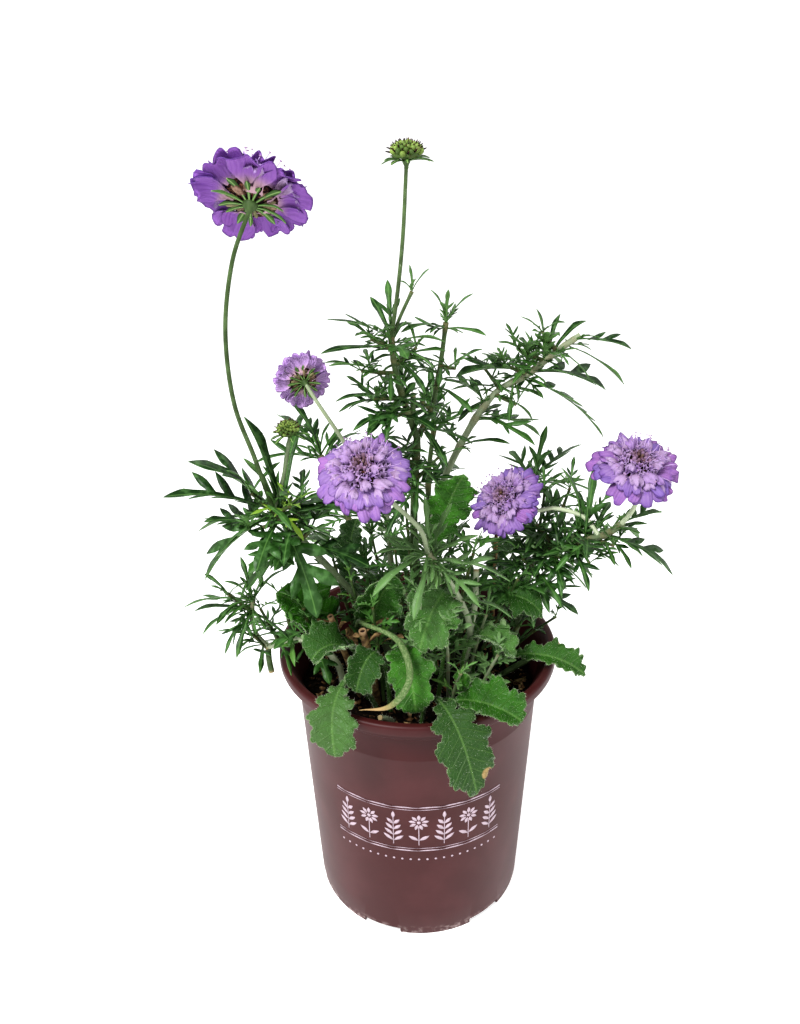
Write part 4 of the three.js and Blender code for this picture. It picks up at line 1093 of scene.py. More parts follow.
@dataclass(frozen=True)
class Finish:
    """A real material as it meets the eye: its ground colour, the coats over it and its fine relief.

    The relief is its grain and depth in millimetres. The other numbers go to the shader's own sockets.
    """

    name: str
    ground: str
    coats: tuple[Coat, ...] = ()
    roughness: float = 0.6
    relief: tuple[float, float] = (1.0, 0.1)
    specular: float = 0.5
    ior: float = 1.5
    glow: float = 0.0

    def pattern(self, tree: NodeTree) -> Node | None:
        """Gives the finish's own pattern, where it has one."""
        return None

    def build(self) -> Material:
        """Makes the material, or gives the one made before.

        Returns:
            The material.
        """
        if self.name in bpy.data.materials:
            return bpy.data.materials[self.name]
        material = bpy.data.materials.new(self.name)
        material.use_nodes = True
        tree = material.node_tree
        place = add_node(tree, "ShaderNodeTexCoord").outputs["Object"]
        pattern = self.pattern(tree)
        colour: Any = linear(self.ground)
        for coat in self.coats:
            unit = MM if coat.value == "height" else 1.0
            if coat.value == "pattern":
                source = pattern
            elif coat.value == "height":
                source = add_node(tree, "ShaderNodeSeparateXYZ", [place]).outputs["Z"]
            elif coat.value:
                source = add_node(tree, "ShaderNodeAttribute", attribute_name=coat.value).outputs["Fac"]
            else:
                source = add_node(tree, "ShaderNodeTexNoise", {
                    "Vector": place, "Scale": 1 / (coat.grain * MM), "Detail": 4.0,
                })
            shown = add_node(tree, "ShaderNodeMapRange", {
                0: source, 1: coat.low * unit, 2: coat.high * unit, 4: coat.share,
            }, interpolation_type="SMOOTHSTEP")
            colour = add_node(tree, "ShaderNodeMix", {
                0: shown, 6: colour, 7: linear(coat.colour),
            }, data_type="RGBA")
        grain, depth = self.relief
        relief = pattern or add_node(tree, "ShaderNodeTexNoise", {
            "Vector": place, "Scale": 1 / (grain * MM), "Detail": 3.0,
        })
        feed(tree, tree.nodes["Principled BSDF"], {
            "Base Color": colour, "Roughness": self.roughness, "IOR": self.ior,
            "Specular IOR Level": self.specular, "Emission Strength": self.glow,
            "Normal": add_node(tree, "ShaderNodeBump", {"Height": relief, "Distance": depth * MM}),
        })
        return material


@dataclass(frozen=True)
class VeinedLeaf(Finish):
    """A leaf with slanting side veins and a fine net between them, in the blade's own millimetres."""

    vein_step: float = 5.6
    slant: float = 0.7
    net_step: float = 2.2

    def pattern(self, tree: NodeTree) -> Node:
        """Gives the veins.

        Args:
            tree: the shader's tree.

        Returns:
            A pattern that is 1 on the veins and 0 between them.
        """
        along, offset = (add_node(tree, "ShaderNodeAttribute", attribute_name=name).outputs["Fac"]
                         for name in ("along", "offset"))
        cells = add_node(tree, "ShaderNodeTexVoronoi", {
            "Vector": add_node(tree, "ShaderNodeCombineXYZ", [along, offset]), "Scale": 1 / self.net_step,
        }, feature="DISTANCE_TO_EDGE", voronoi_dimensions="2D")
        slanted = add_node(tree, MATH, [offset, -self.slant, along], operation="MULTIPLY_ADD")
        saw = add_node(tree, MATH, [slanted, self.vein_step / 2], operation="PINGPONG")
        net = add_node(tree, "ShaderNodeMapRange", [cells, 0.0, 0.16, 0.5, 0.0])
        veins = add_node(tree, "ShaderNodeMapRange", [saw, 0.05, 0.5, 1.0, 0.0])
        return add_node(tree, MATH, [net, veins], operation="MAXIMUM")


@dataclass(frozen=True)
class RibbedPetal(Finish):
    """A petal with fine lines from its foot to its edge."""

    lines: float = 34.0

    def pattern(self, tree: NodeTree) -> Node:
        """Gives lines that wave across the petal.

        Args:
            tree: the shader's tree.

        Returns:
            The pattern.
        """
        across = add_node(tree, "ShaderNodeAttribute", attribute_name="across").outputs["Fac"]
        wide = add_node(tree, MATH, [across, self.lines], operation="MULTIPLY")
        return add_node(tree, MATH, [wide], operation="SINE")


# Injection-moulded polypropylene, dyed burgundy: a dull satin gloss, faintly clouded, dried dust at its foot
POT_PLASTIC = Finish("polypropylene_moulded_burgundy", "3F1617", (
    Coat("A08F8C", low=0.46, high=0.66, share=0.8, grain=4), Coat("3F1617", "height", 2, 8),
    Coat("512628", low=0.4, high=0.75, share=0.5, grain=30),
), roughness=0.45, relief=(0.9, 0.02), specular=0.24, ior=1.49)
# Screen-printed ink: flat pale mauve, worn thin here and there
PRINT_INK = Finish("ink_screen_printed_mauve", "B5A3AE", (
    Coat("6E484C", low=0.5, high=0.8, share=0.6, grain=1.6),
), roughness=0.55, relief=(0.8, 0.01))
# Damp peat and composted bark: almost black, crumbly and dull, with browner crumbs
COMPOST = Finish("compost_peat_and_bark", "0D0805", (
    Coat("3A2A1E", low=0.5, high=0.75, grain=2.2),
), roughness=0.95, relief=(1.4, 0.8), specular=0.1)
# Chips of composted pine bark: brown to black, with a few pale tan slivers of wood
BARK = Finish("bark_composted_chips", "24180F", (
    Coat("7A5B3C", "tint", 0.25, 0.8), Coat("A88C66", "tint", 0.86, 0.92),
    Coat("20140E", low=0.45, high=0.7, share=0.6, grain=1.1),
), roughness=0.9, relief=(0.6, 0.2), specular=0.15)
# Living stem: green and faintly ribbed, grey-green where it is downy, brown at its joints and cut ends
STEM_SKIN = Finish("stem_living_skin", "2F431C", (
    Coat("4B6138", low=0.35, high=0.7, grain=6), Coat("B4BEA0", "pale"), Coat("807050", "joint", share=0.7),
    Coat("9C8A64", "cut"),
), roughness=0.55, relief=(0.8, 0.08), specular=0.25)
# Cut leaf of a stem: dark satin green above, paler below, with a pale midrib; young leaves are yellow-green
STEM_BLADE = Finish("leaf_stem_blade", "16360F", (
    Coat("436E2E", "tint"), Coat("577F48", low=0.45, high=0.65, share=0.5), Coat("7A9A30", "tint", 1, 2),
    Coat("5C8048", "under", share=0.8), Coat("86A072", "pale", share=0.7),
    Coat("6C9450", "offset", 0.5, 0.1, 0.4),
), roughness=0.42, relief=(1.2, 0.12), specular=0.25)
# Broad leaf of the crown: deep soft green, quilted between pale veins, with a pale hairy margin
BASAL_BLADE = VeinedLeaf("leaf_basal_blade", "183C0A", (
    Coat("3E7A1C", "tint"), Coat("1F460E", low=0.42, high=0.62, share=0.7, grain=7),
    Coat("6F9450", "pattern", share=0.26), Coat("6E9056", "under", share=0.85),
    Coat("87A070", "pale", share=0.75), Coat("93AC7B", "edge", 0.75, 1, 0.45),
    Coat("6F9450", "offset", 0.9, 0.2, 0.35), Coat("9C8456", "spot", 0.3, 0.6),
), roughness=0.5, relief=(1.0, 0.35), specular=0.25)
# Narrow bract under a head: dark green with a paler keel
BRACT = Finish("bract_narrow_leaf", "173208", (
    Coat("3C6222", "tint"), Coat("567842", "under", share=0.5), Coat("7E9C5E", "offset", 0.35, 0.1),
), roughness=0.55, specular=0.2)
# Outer petal: violet, pinker here and bluer there, nearly white at its foot, with fine deeper lines and
# painted shade, deep violet, along its edges
RAY = RibbedPetal("petal_ray_tissue", "A088AE", (
    Coat("84689C", "reach", 0.15, 0.5), Coat("6E5090", "reach", 0.75, 1, 0.7),
    Coat("985EA0", "tint", 0.5, 1, 0.55), Coat("6C589E", "tint", 0.4, 0, 0.5),
    Coat("644292", low=0.5, high=0.75, share=0.5, grain=3),
    Coat("603A94", "pattern", 0.3, 1, 0.2), Coat("8652A6", "under", share=0.7), Coat("C2A0D4", "pale"),
    # the second coat here is painted shade: near-black violet along the petal's edges
    Coat("BC9C9E", "keel", share=0.85), Coat("3D1A62", "rim", 0.6, 1, 0.6),
), relief=(1.0, 0.08), specular=0.2)
# Inner floret: pale lilac lobes on a brownish throat
FLORET = RibbedPetal("petal_floret_tissue", "3E2834", (
    Coat("8A708E", "reach", 0.04, 0.2), Coat("A48CB0", "reach", 0.3, 0.7),
    Coat("8A68A6", "tint", 0.35, 1, 0.7), Coat("7C5C50", "outward", 0.35, 0, 0.6),
    Coat("6C489A", "rim", 0.5, 1, 0.3),
), relief=(1.0, 0.04), specular=0.2)
# Floret still shut: a dull pink-brown bead
YOUNG_FLORET = Finish("petal_shut_floret", "5C4248", (
    Coat("8E7290", "tint"), Coat("64502E", "outward", 0.2, 0, 0.7),
), relief=(0.7, 0.05), specular=0.2)
# Calyx of a floret: a ribbed tan cup with rusty bristles
CALYX = Finish("calyx_ribbed_tan", "907060", (
    Coat("5C4030", low=0.4, high=0.6, grain=1.5), Coat("6C8048", "tint", share=0.5),
), relief=(0.6, 0.15))
# Threadlike stamen: nearly white lilac, with a mauve-brown knob
STAMEN = Finish("stamen_thread_tissue", "B89CCB", (Coat("94749A", "knob"),))
# Heart of a head between its florets: deep brown-purple with rusty bristles, its near-black partly painted
# shade in the gaps between the florets
HEART = Finish("calyx_bristle_mat", "1E0E14", (
    Coat("64402F", low=0.5, high=0.65, grain=0.9),
), roughness=0.85, relief=(0.6, 0.4), specular=0.1)
# Closed florets in bud: smooth, tight and yellow-green, with darker brown-olive clouds
BUD_SCALE = Finish("bud_closed_florets", "3F5622", (
    Coat("7F9648", "tint"), Coat("4A4020", low=0.55, high=0.7, share=0.5, grain=2),
), roughness=0.5, relief=(0.7, 0.1), specular=0.3)
# Spent stalks and sheaths: papery straw and grey-brown, streaked, with painted shade, near black, down inside
# the stumps' hollow ends
DRY_STALK = Finish("stalk_dried_papery", "9A7F58", (
    Coat("54402E", low=0.35, high=0.7, grain=3), Coat("241610", "dark"), Coat("90765A", "cut"),
), roughness=0.85, relief=(1.0, 0.25), specular=0.2)
# Withering stalk: limp, grey-green and finely wrinkled, tan and papery towards its end
WITHERED_STALK = Finish("stalk_withering_skin", "4C6638", (
    Coat("78885E", low=0.4, high=0.65, grain=0.9), Coat("A88C62", "cut"),
), roughness=0.7, relief=(0.8, 0.2), specular=0.2)
# Fine white down: short stiff hairs that catch the light
DOWN = Finish("leaf_white_down", "C8D2BC", roughness=0.4, relief=(1.0, 0.0))
# Plain white paper: the floor, and the rim round it that is lit from behind
PAPER = Finish("paper_white_floor", "F2F2F2", roughness=0.9, relief=(2.0, 0.0), glow=0.5)
BACKLIT_PAPER = Finish(
    "paper_white_backlit", "000000", roughness=1.0, relief=(2.0, 0.0), specular=0.0, glow=1.0,
)


class Pattern:
    """A flat blade cut in triangles, read as (along, across)."""

    def __init__(self, outline: Sequence[Flat], rib: Sequence[Flat], inner: Sequence[Flat] = ()) -> None:
        """Cuts an outline in triangles.

        Args:
            outline: the edge, anticlockwise.
            rib: the midrib, which the triangles keep to.
            inner: single points inside.
        """
        points = [Vector(p) for p in (*outline, *rib, *inner)]
        size = len(outline)
        edges = [(size + k, size + k + 1) for k in range(len(rib) - 1)]
        places, _, triangles, origins, *_ = delaunay_2d_cdt(points, edges, [list(range(size))], 1, 1e-5)
        self.places = np.array([tuple(p) for p in places])
        self.edge = np.array([float(any(k < size for k in own)) for own in origins])
        self.faces = plate_faces([tuple(face) for face in triangles], len(places))


def blunt(share: float, start: float, power: float) -> float:
    """Gives the width of a blunt end at a share of its length: 1 up to the start, then down to 0."""
    return 1 - max(0.0, (share - start) / (1 - start)) ** power


def lobe_side(start: np.ndarray, end: np.ndarray, tip: np.ndarray, half: float) -> list[np.ndarray]:
    """Draws a blunt lobe from its lower corner over its tip to its upper corner.

    Its edges close in on its own width over the first half, and its cap is round from there on.

    Args:
        start: the lower corner.
        end: the upper corner.
        tip: the lobe's tip.
        half: its half width.

    Returns:
        The points between the corners.
    """
    middle = (start + end) / 2
    ahead = (tip - middle) / np.linalg.norm(tip - middle)
    aside = np.array([-ahead[1], ahead[0]])
    if np.dot(aside, end - start) < 0:
        aside = -aside
    sides = ([], [])
    for points, corner, side in zip(sides, (start, end), (-1, 1)):
        for share in LOBE_SHARES:
            blend = smoothstep(share, 0, 0.5)
            width = half * blend * blunt(share, 0.4, 1.7)
            line = middle + (tip - middle) * share
            points.append(line + (corner - middle) * (1 - blend) + aside * side * width)
    rising, falling = sides
    return [*rising, tip, *reversed(falling)]


def stem_leaf_pattern(cut: Cut, seed: int) -> Pattern:
    """Draws a deeply cut leaf of a stem, in parts of its length, with blunt lobes that vary a little.

    Args:
        cut: the way that it is cut.
        seed: which variant.

    Returns:
        The pattern.
    """
    draw = random.Random(f"{cut.value}{seed}")
    rungs, (end_half, side_half) = OUTLINES[cut], LOBE_WIDTHS[cut]
    sides = []
    for sign in (1, -1):
        side = []
        for k, rung in enumerate(rungs[:-1]):
            here, there = np.array(rung[:2]), np.array(rungs[k + 1][:2])
            side.append(here)
            if len(rung) == 4:
                tip = np.array(rung[2:]) * (draw.uniform(0.92, 1.05), draw.uniform(0.8, 1.1))
                side.extend(lobe_side(here, there, tip, side_half * draw.uniform(0.8, 1.25)))
            elif k + 2 < len(rungs):
                side.append((here + there) / 2)
        foot, neck = rungs[-2]
        for share in END_SHARES:
            width = neck + (end_half - neck) * smoothstep(share, 0, 0.45)
            side.append((foot + (1 - foot) * share, width * blunt(share, 0.3, 1.8)))
        sides.append([(p[0], sign * p[1]) for p in side])
    left, right = sides
    return Pattern([*right, (1.0, 0.0), *reversed(left)], [(0.02 + 0.93 * k / 11, 0.0) for k in range(12)])


def is_inside(place: Flat, outline: Sequence[Flat]) -> bool:
    """Tells whether a flat point lies inside an outline.

    Args:
        place: the point.
        outline: the outline's corners in order.

    Returns:
        True inside.
    """
    inside = False
    for (x0, y0), (x1, y1) in zip(outline, [*outline[1:], outline[0]]):
        if (y0 > place[1]) != (y1 > place[1]) and place[0] < x0 + (place[1] - y0) * (x1 - x0) / (y1 - y0):
            inside = not inside
    return inside


@dataclass(frozen=True)
class BroadBlade:
    """A broad blade with round teeth: its cut, length, millimetres for a half width of 1 and variant, then
    the pitch and depth of its teeth, the step along its edge and the grid of points inside."""

    cut: Cut
    length: float
    scale: float
    seed: int
    tooth: float = 4.3
    depth: float = 1.7
    edge_step: float = 0.62
    grid: float = 1.9

    def _side(self, sign: int, draw: random.Random) -> list[Flat]:
        """Draws one edge of the blade.

        Args:
            sign: 1 for the left, -1 for the right.
            draw: the source of its small irregularities.

        Returns:
            The points of the edge from the foot to the tip.
        """
        corners = []
        for rung in OUTLINES[self.cut]:
            corners.append((rung[0] * self.length, rung[1] * self.scale, 0))
            if len(rung) == 4:
                reach = rung[3] * self.scale * draw.uniform(0.93, 1.05)
                corners.extend(((rung[2] + shift) * self.length, reach, 0) for shift in (-0.035, 0.045))
        curve = Path(corners)
        count = max(12, int(curve.length / self.edge_step))
        side, phase = [], draw.uniform(0, 1)
        for share in (k / count for k in range(count + 1)):
            ahead = curve.ahead(share)
            outward = Vector((-ahead.y, ahead.x, 0)).normalized()
            teeth = share * curve.length / self.tooth
            wave = abs(math.sin(math.pi * (teeth + phase)))
            depth = self.depth * (0.8 + 0.4 * math.sin(2.3 * teeth + 9 * phase))
            spot = curve.at(share) + outward * depth * (wave ** 0.55 - 0.6) * smoothstep(share, 0.12, 0.3)
            side.append((spot.x, sign * max(0.5, spot.y)))
        return side

    def pattern(self) -> Pattern:
        """Draws the edge, and the points inside on a loose grid that keeps clear of edge and midrib.

        Returns:
            The blade's pattern.
        """
        draw = random.Random(f"{self.cut.value}{self.seed}")
        left, right = self._side(1, draw), self._side(-1, draw)
        outline = [*right, (self.length, 0.0), *reversed(left)]
        ring = [Vector(p) for p in outline]
        inner = []
        for row in range(1, int(self.length / self.grid)):
            for column in (k for k in range(-12, 13) if k):
                place = (row * self.grid + draw.uniform(-0.2, 0.2),
                         (column + 0.5 * (row % 2)) * self.grid + draw.uniform(-0.2, 0.2))
                clear = min((Vector(place) - p).length for p in ring) > 0.8 and abs(place[1]) > 0.9
                if clear and is_inside(place, outline):
                    inner.append(place)
        return Pattern(outline, [(self.length * (0.01 + 0.95 * k / 24), 0.0) for k in range(25)], inner)


class StemLeaf:
    """A leaf of a stem: it rises from its root with a low arch, its face turned to the sky."""

    VARIANTS = 5
    THICKNESS = 0.42
    patterns: dict[tuple[Cut, int], Pattern] = {}

    def __init__(self, root: Vector, azimuth: float, rise: float, length: float, cut: Cut,
                 breadth: float = 1.0) -> None:
        """Places a leaf.

        Args:
            root: where it leaves its stem.
            azimuth: the way that it points.
            rise: its rise above level.
            length: its length.
            cut: the way that it is cut.
            breadth: how broad it is against others of its cut.
        """
        ahead = direction(azimuth, rise)
        self.across = UP.cross(ahead).normalized()
        crest = root + ahead * (length / 2) + ahead.cross(self.across) * (length * LEAF_ARCH)
        self.bend = Bend(root, crest, root + ahead * length)
        self.azimuth, self.rise = azimuth, rise
        self.length, self.cut, self.breadth = length, cut, breadth

    def is_in(self, tree: KDTree) -> bool:
        """Tells whether the two corners of the frame's leaf at this one's tip are among a tree's points."""
        normal = self.bend.tangent(1).cross(self.across).normalized() * TIP_OFFSET
        return all(tree.find(self.bend.tip + corner)[2] < MATCH_REACH for corner in (normal, -normal))

    def add_to(self, shape: Shape, draw: random.Random, curl: float = 0.5, **values: float) -> None:
        """Adds the fine blade to a shape.

        Args:
            shape: the shape that gets it.
            draw: the source of its small irregularities.
            curl: how far it may twist along its length, in radians.
            values: point values of the whole blade.
        """
        key = (self.cut, draw.randrange(self.VARIANTS))
        if key not in self.patterns:
            self.patterns[key] = stem_leaf_pattern(*key)
        pattern = self.patterns[key]
        fold, twist = draw.uniform(0.2, 0.55), draw.uniform(-curl, curl)
        wave, phase = draw.uniform(0.006, 0.02), draw.uniform(0, math.tau)
        hook = draw.uniform(-0.06, 0.1)
        spots, normals = [], []
        for along, offset in pattern.places:
            normal = self.bend.tangent(along).cross(self.across).normalized()
            cosine, sine = math.cos(twist * along), math.sin(twist * along)
            aside, up = self.across * cosine + normal * sine, normal * cosine - self.across * sine
            ripple = wave * math.sin(9 * along + phase + 4 * offset) * min(1, abs(offset) * 12)
            lift = abs(offset) * fold + ripple - hook * smoothstep(along, 0.5, 1.3)
            spots.append(self.bend.at(along) + aside * (offset * self.breadth * self.length)
                         + up * (lift * self.length))
            normals.append(up)
        offset = np.abs(pattern.places[:, 1]) * self.length * self.breadth
        shape.add_plate(spots, normals, self.THICKNESS, pattern.faces, offset=offset, **values)


def lathe(profile: Sequence[Flat], sides: int) -> Shape:
    """Turns a section round the axis.

    Args:
        profile: the section as (radius, height), anticlockwise from the axis back to the axis.
        sides: how many sides the turned body has.

    Returns:
        The closed shape.
    """
    points, rings = [], []
    for radius, height in profile:
        ring = circle(radius, sides if radius else 1)
        rings.append([len(points) + k % len(ring) for k in range(sides)])
        points.extend((x, y, height) for x, y in ring)
    return Shape().add(points, skin(rings))


def shade_by_angle(mesh: Mesh, degrees: float) -> None:
    """Shades a mesh smooth but for its sharp edges.

    Args:
        mesh: the mesh.
        degrees: the angle from which an edge is sharp.
    """
    work = bmesh.new()
    work.from_mesh(mesh)
    for edge in work.edges:
        edge.smooth = len(edge.link_faces) == 2 and edge.calc_face_angle(0) < math.radians(degrees)
    for face in work.faces:
        face.smooth = True
    work.to_mesh(mesh)
    work.free()


@dataclass
class Pot:
    """The moulded nursery pot."""

    height: float = 178
    base_radius: float = 66.5
    foot_bevel: Flat = (0.8, 1.2)
    wall: float = 1.4
    wall_top: float = 161.5
    wall_top_radius: float = 73.7
    shoulder: tuple[Flat, ...] = ((0.9, 162.5), (1.4, 168))
    lip_radius: float = 83.7
    lip_height: float = 6.5
    lip_band: float = 4.8
    lip_round: float = 2
    floor: float = 2.2
    notch_count: int = 6
    notch_size: Point = (12, 24, 4)
    first_notch: float = 249
    sides: int = 144
    mould_line: Flat = (146, 0.12)
    crease: float = 32

    @property
    def slope(self) -> float:
        """The wall's growth in radius for each millimetre of height."""
        return (self.wall_top_radius - self.base_radius) / self.wall_top

    def radius_at(self, height: float) -> float:
        """Gives the outer radius of the wall at a height."""
        return self.base_radius + self.slope * height

    def profile(self) -> list[Flat]:
        """Draws the section from the axis up the outside, over the lip and down the inside.

        Returns:
            The section as (radius, height).
        """
        line, ridge = self.mould_line
        inside, under = self.lip_radius - self.lip_band, self.height - self.lip_height
        arc = [(self.lip_radius - self.lip_round * (1 - math.cos(a)),
                self.height - self.lip_round * (1 - math.sin(a))) for a in np.linspace(0, math.pi / 2, 7)]
        return [
            (0, 0), (self.base_radius - self.foot_bevel[0], 0), (self.base_radius - 0.25, 0.35),
            (self.base_radius, self.foot_bevel[1]),
            *((self.radius_at(z), z) for z in (20, 60, 100, line - 0.5)),
            (self.radius_at(line) + ridge, line), (self.radius_at(line + 0.5), line + 0.5),
            (self.wall_top_radius, self.wall_top),
            *((self.wall_top_radius + out, z) for out, z in self.shoulder),
            (inside - 0.4, under - 1.2), (inside + 0.6, under), (self.lip_radius - 0.9, under),
            (self.lip_radius - 0.2, under + 0.4), (self.lip_radius, under + 1.2), *arc,
            (inside + 0.8, self.height - 0.1), (inside, self.height - 0.7),
            (self.wall_top_radius, self.shoulder[1][1]),
            (self.radius_at(self.floor) - self.wall, self.floor), (0, self.floor),
        ]

    def build(self) -> None:
        """Builds the pot."""
        piece = lathe(self.profile(), self.sides).piece("pot_moulding", POT_PLASTIC)
        cutter = self._notches()
        modifier = piece.modifiers.new("notches", "BOOLEAN")
        modifier.object = cutter
        modifier.operation = "DIFFERENCE"
        bake(piece, modifier)
        bpy.data.meshes.remove(cutter.data)
        shade_by_angle(piece.data, self.crease)
        settle(piece, ["pot"])

    def _notches(self) -> Object:
        """Makes the body that cuts the drain notches.

        Returns:
            The cutter, one box for each notch.
        """
        depth, width, height = self.notch_size
        size = Matrix.Diagonal((depth * MM, width * MM, height * 2 * MM, 1))
        boxes = bmesh.new()
        for k in range(self.notch_count):
            turn = Matrix.Rotation(math.radians(self.first_notch + 360 * k / self.notch_count), 4, "Z")
            place = Matrix.Translation((self.base_radius * MM, 0, 0))
            bmesh.ops.create_cube(boxes, size=1, matrix=turn @ place @ size)
        mesh = bpy.data.meshes.new("notches")
        boxes.to_mesh(mesh)
        boxes.free()
        return new_piece("notches", mesh)


@dataclass
class PotPrint:
    """The plain print on the pot's front: sprigs and daisies between double rules, with dots below."""

    pot: Pot
    count: int = 7
    pitch: float = 15
    height: float = 93
    ink: float = 0.1
    rules: tuple[Flat, ...] = ((17.5, 0.9), (15.6, 0.45), (-15.6, 0.45), (-17.5, 0.9))
    dots: Flat = (-25, 0.75)
    stalk_foot: float = -13
    daisy: Point = (5.5, 1.2, 1.7)

    def build(self) -> None:
        """Builds the print as thin ink on the wall."""
        piece = wrap_recipe().run("pot_print", PRINT_INK, {
            "count": self.count, "pitch": self.pitch * MM, "height": self.height * MM,
            "radius": self.pot.base_radius * MM, "slope": self.pot.slope,
        }, kit=[self._sprig(), self._daisy()])
        settle(piece)

    def _add_ink(self, shape: Shape, outline: Sequence[Flat]) -> None:
        """Adds ink within an anticlockwise outline: a quarter as deep in the wall as it stands out of it."""
        size = len(outline)
        spots = [Vector((x, y, self.ink * 0.375)) for x, y in outline]
        shape.add_plate(spots, [UP] * size, self.ink * 1.25, plate_faces([range(size)], size))

    def _add_leaf(self, shape: Shape, foot: Flat, angle: float, length: float, width: float) -> None:
        """Adds a pointed leaf.

        Args:
            shape: the shape that gets it.
            foot: where it starts.
            angle: the way that it points, in degrees.
            length: its length.
            width: its greatest width.
        """
        ahead = direction(angle, 0)
        aside = UP.cross(ahead) * (width / 2)
        edge = [(share, -1) for share in np.linspace(0, 1, 7)]
        edge += [(share, 1) for share, _ in edge[-2:0:-1]]
        spots = [Vector((*foot, 0)) + ahead * length * share + aside * side * math.sin(math.pi * share)
                 for share, side in edge]
        self._add_ink(shape, [(spot.x, spot.y) for spot in spots])

    def _motif(self, stalk: tuple[float, float, float]) -> Shape:
        """Starts a motif with its stretch of the rules, its dots and its stalk.

        Args:
            stalk: the stalk's top and its half widths at its foot and its top.

        Returns:
            The motif so far.
        """
        shape = Shape()
        xs = np.linspace(-self.pitch / 2, self.pitch / 2, 6)
        for middle, width in self.rules:
            low, high = middle - width / 2, middle + width / 2
            self._add_ink(shape, [*((x, low) for x in xs), *((x, high) for x in xs[::-1])])
        middle, radius = self.dots
        for k in (-1, 0, 1):
            self._add_ink(shape, circle(radius, 8, (k * self.pitch / 3, middle)))
        top, foot_half, top_half = stalk
        self._add_ink(shape, [
            (-foot_half, self.stalk_foot), (foot_half, self.stalk_foot), (top_half, top), (-top_half, top),
        ])
        return shape

    def _sprig(self) -> Shape:
        """Draws an upright sprig with pairs of leaves."""
        shape = self._motif((9, 0.25, 0.2))
        for k, foot in enumerate((-10, -5.5, -1, 3.5)):
            for side in (1, -1):
                self._add_leaf(shape, (0.2 * side, foot), 90 - side * (52 - 3 * k), 7.4 - 0.7 * k, 2.3)
        self._add_leaf(shape, (0, 8), 90, 5.5, 2.2)
        return shape

    def _daisy(self) -> Shape:
        """Draws a daisy on a stalk with two leaves."""
        middle, disc, hub = self.daisy
        shape = self._motif((2.5, 0.25, 0.25))
        for side in (1, -1):
            self._add_leaf(shape, (0.2 * side, -9), 90 - side * 58, 7, 2.4)
        for turn in range(10, 370, 40):
            foot = direction(turn, 0) * hub
            self._add_leaf(shape, (foot.x, middle + foot.y), turn, 4.4, 2.1)
        self._add_ink(shape, circle(disc, 10, (0, middle)))
        return shape


@dataclass
class Soil:
    """The plug of bark compost, with loose chips on its top."""

    pot: Pot
    top: float = 148
    crown: float = 5
    clearance: float = 0.7
    rings: int = 44
    sides: int = 150
    crumb: float = 0.8
    chips: int = 6

    def height_at(self, x: float, y: float) -> float:
        """Gives the height of the soil's rough top, which rises to its crown."""
        crown = self.crown * (1 - math.hypot(x, y) / self.pot.wall_top_radius)
        rough = 1.3 * math.sin(x * 0.31 + 1.7 * math.sin(y * 0.17)) + 1.1 * math.sin(y * 0.37 + x * 0.11)
        return self.top + crown + rough

    def build(self) -> None:
        """Builds the plug, crumbly within its edge, and its chips."""
        foot = self.pot.floor + 0.35
        foot_radius, edge = (self.pot.radius_at(z) - self.pot.wall - self.clearance for z in (foot, self.top))
        surface = [(edge * (1 - k / self.rings), self.top) for k in range(self.rings + 1)]
        plug = lathe([(0, foot), (foot_radius, foot), *surface], self.sides)
        draw = random.Random(11)
        top_points = plug.points[0][1 + self.sides:]
        for k, point in enumerate(top_points):
            point[2] = self.height_at(*point[:2])
            if self.sides <= k < len(top_points) - 1:
                point[2] += draw.uniform(-self.crumb, self.crumb)
        settle(plug.piece("compost_plug", COMPOST), ["soil"])
        self._scatter_chips(edge)

    def _scatter_chips(self, edge: float) -> None:
        """Scatters bark chips on the top.

        Args:
            edge: the top's radius.
        """
        draw = random.Random(12)
        work = bmesh.new()
        bmesh.ops.create_circle(work, cap_ends=True, radius=(edge - 3) * MM, segments=48)
        bmesh.ops.triangulate(work, faces=work.faces)
        bmesh.ops.subdivide_edges(work, edges=work.edges, cuts=6, use_grid_fill=True)
        for vert in work.verts:
            vert.co.z = (self.height_at(vert.co.x / MM, vert.co.y / MM) + 0.3) * MM
        mesh = bpy.data.meshes.new("bark_ground")
        work.to_mesh(mesh)
        work.free()
        chips = scatter_recipe().run("bark_chips", BARK, {
            "density": 70000.0, "smallest": 0.5, "largest": 1.8, "seed": 3,
        }, mesh, [self._chip(draw) for _ in range(self.chips)])
        settle(chips)

    @staticmethod
    def _chip(draw: random.Random, sides: int = 5) -> Shape:
        """Makes a jagged sliver of bark.

        Args:
            draw: the source of its irregularities.
            sides: its sides.

        Returns:
            A closed shape.
        """
        length, width, depth = draw.uniform(3, 6), draw.uniform(1.4, 2.6), draw.uniform(0.6, 1.2)
        turns = [math.tau * (k + draw.uniform(-0.3, 0.3)) / sides for k in range(sides)]
        upper = [(length / 2 * math.cos(a) * draw.uniform(0.8, 1.1), width / 2 * math.sin(a),
                  depth * draw.uniform(0.2, 0.6)) for a in turns]
        lower = [(x * 0.85, y * 0.85, -depth / 2) for x, y, _ in upper]
        low, high = range(sides), range(sides, 2 * sides)
        return Shape().add([*lower, *upper], [*skin([low, high]), low[::-1], high])


def add_rings(shape: Shape, rings: Sequence[tuple[Vector, Vector, float]], sides: int, **values: Any) -> None:
    """Adds a round closed body through rings.

    Args:
        shape: the shape that gets it.
        rings: the centre, the direction and the radius of each ring.
        sides: its sides.
        values: point values, one for each ring or one for all.
    """
    points = [rings[0][0]]
    side = Vector((1, 0.13, 0.07))
    for centre, ahead, radius in rings:
        side = (side - ahead * side.dot(ahead)).normalized()
        other = ahead.cross(side)
        points.extend(centre + side * x + other * y for x, y in circle(radius, sides))
    points.append(rings[-1][0])
    last = len(points) - 1
    rows = [range(k, k + sides) for k in range(1, last, sides)]
    spread = {key: value if np.isscalar(value) else [value[0], *np.repeat(value, sides), value[-1]]
              for key, value in values.items()}
    shape.add(points, skin([[0] * sides, *rows, [last] * sides]), **spread)


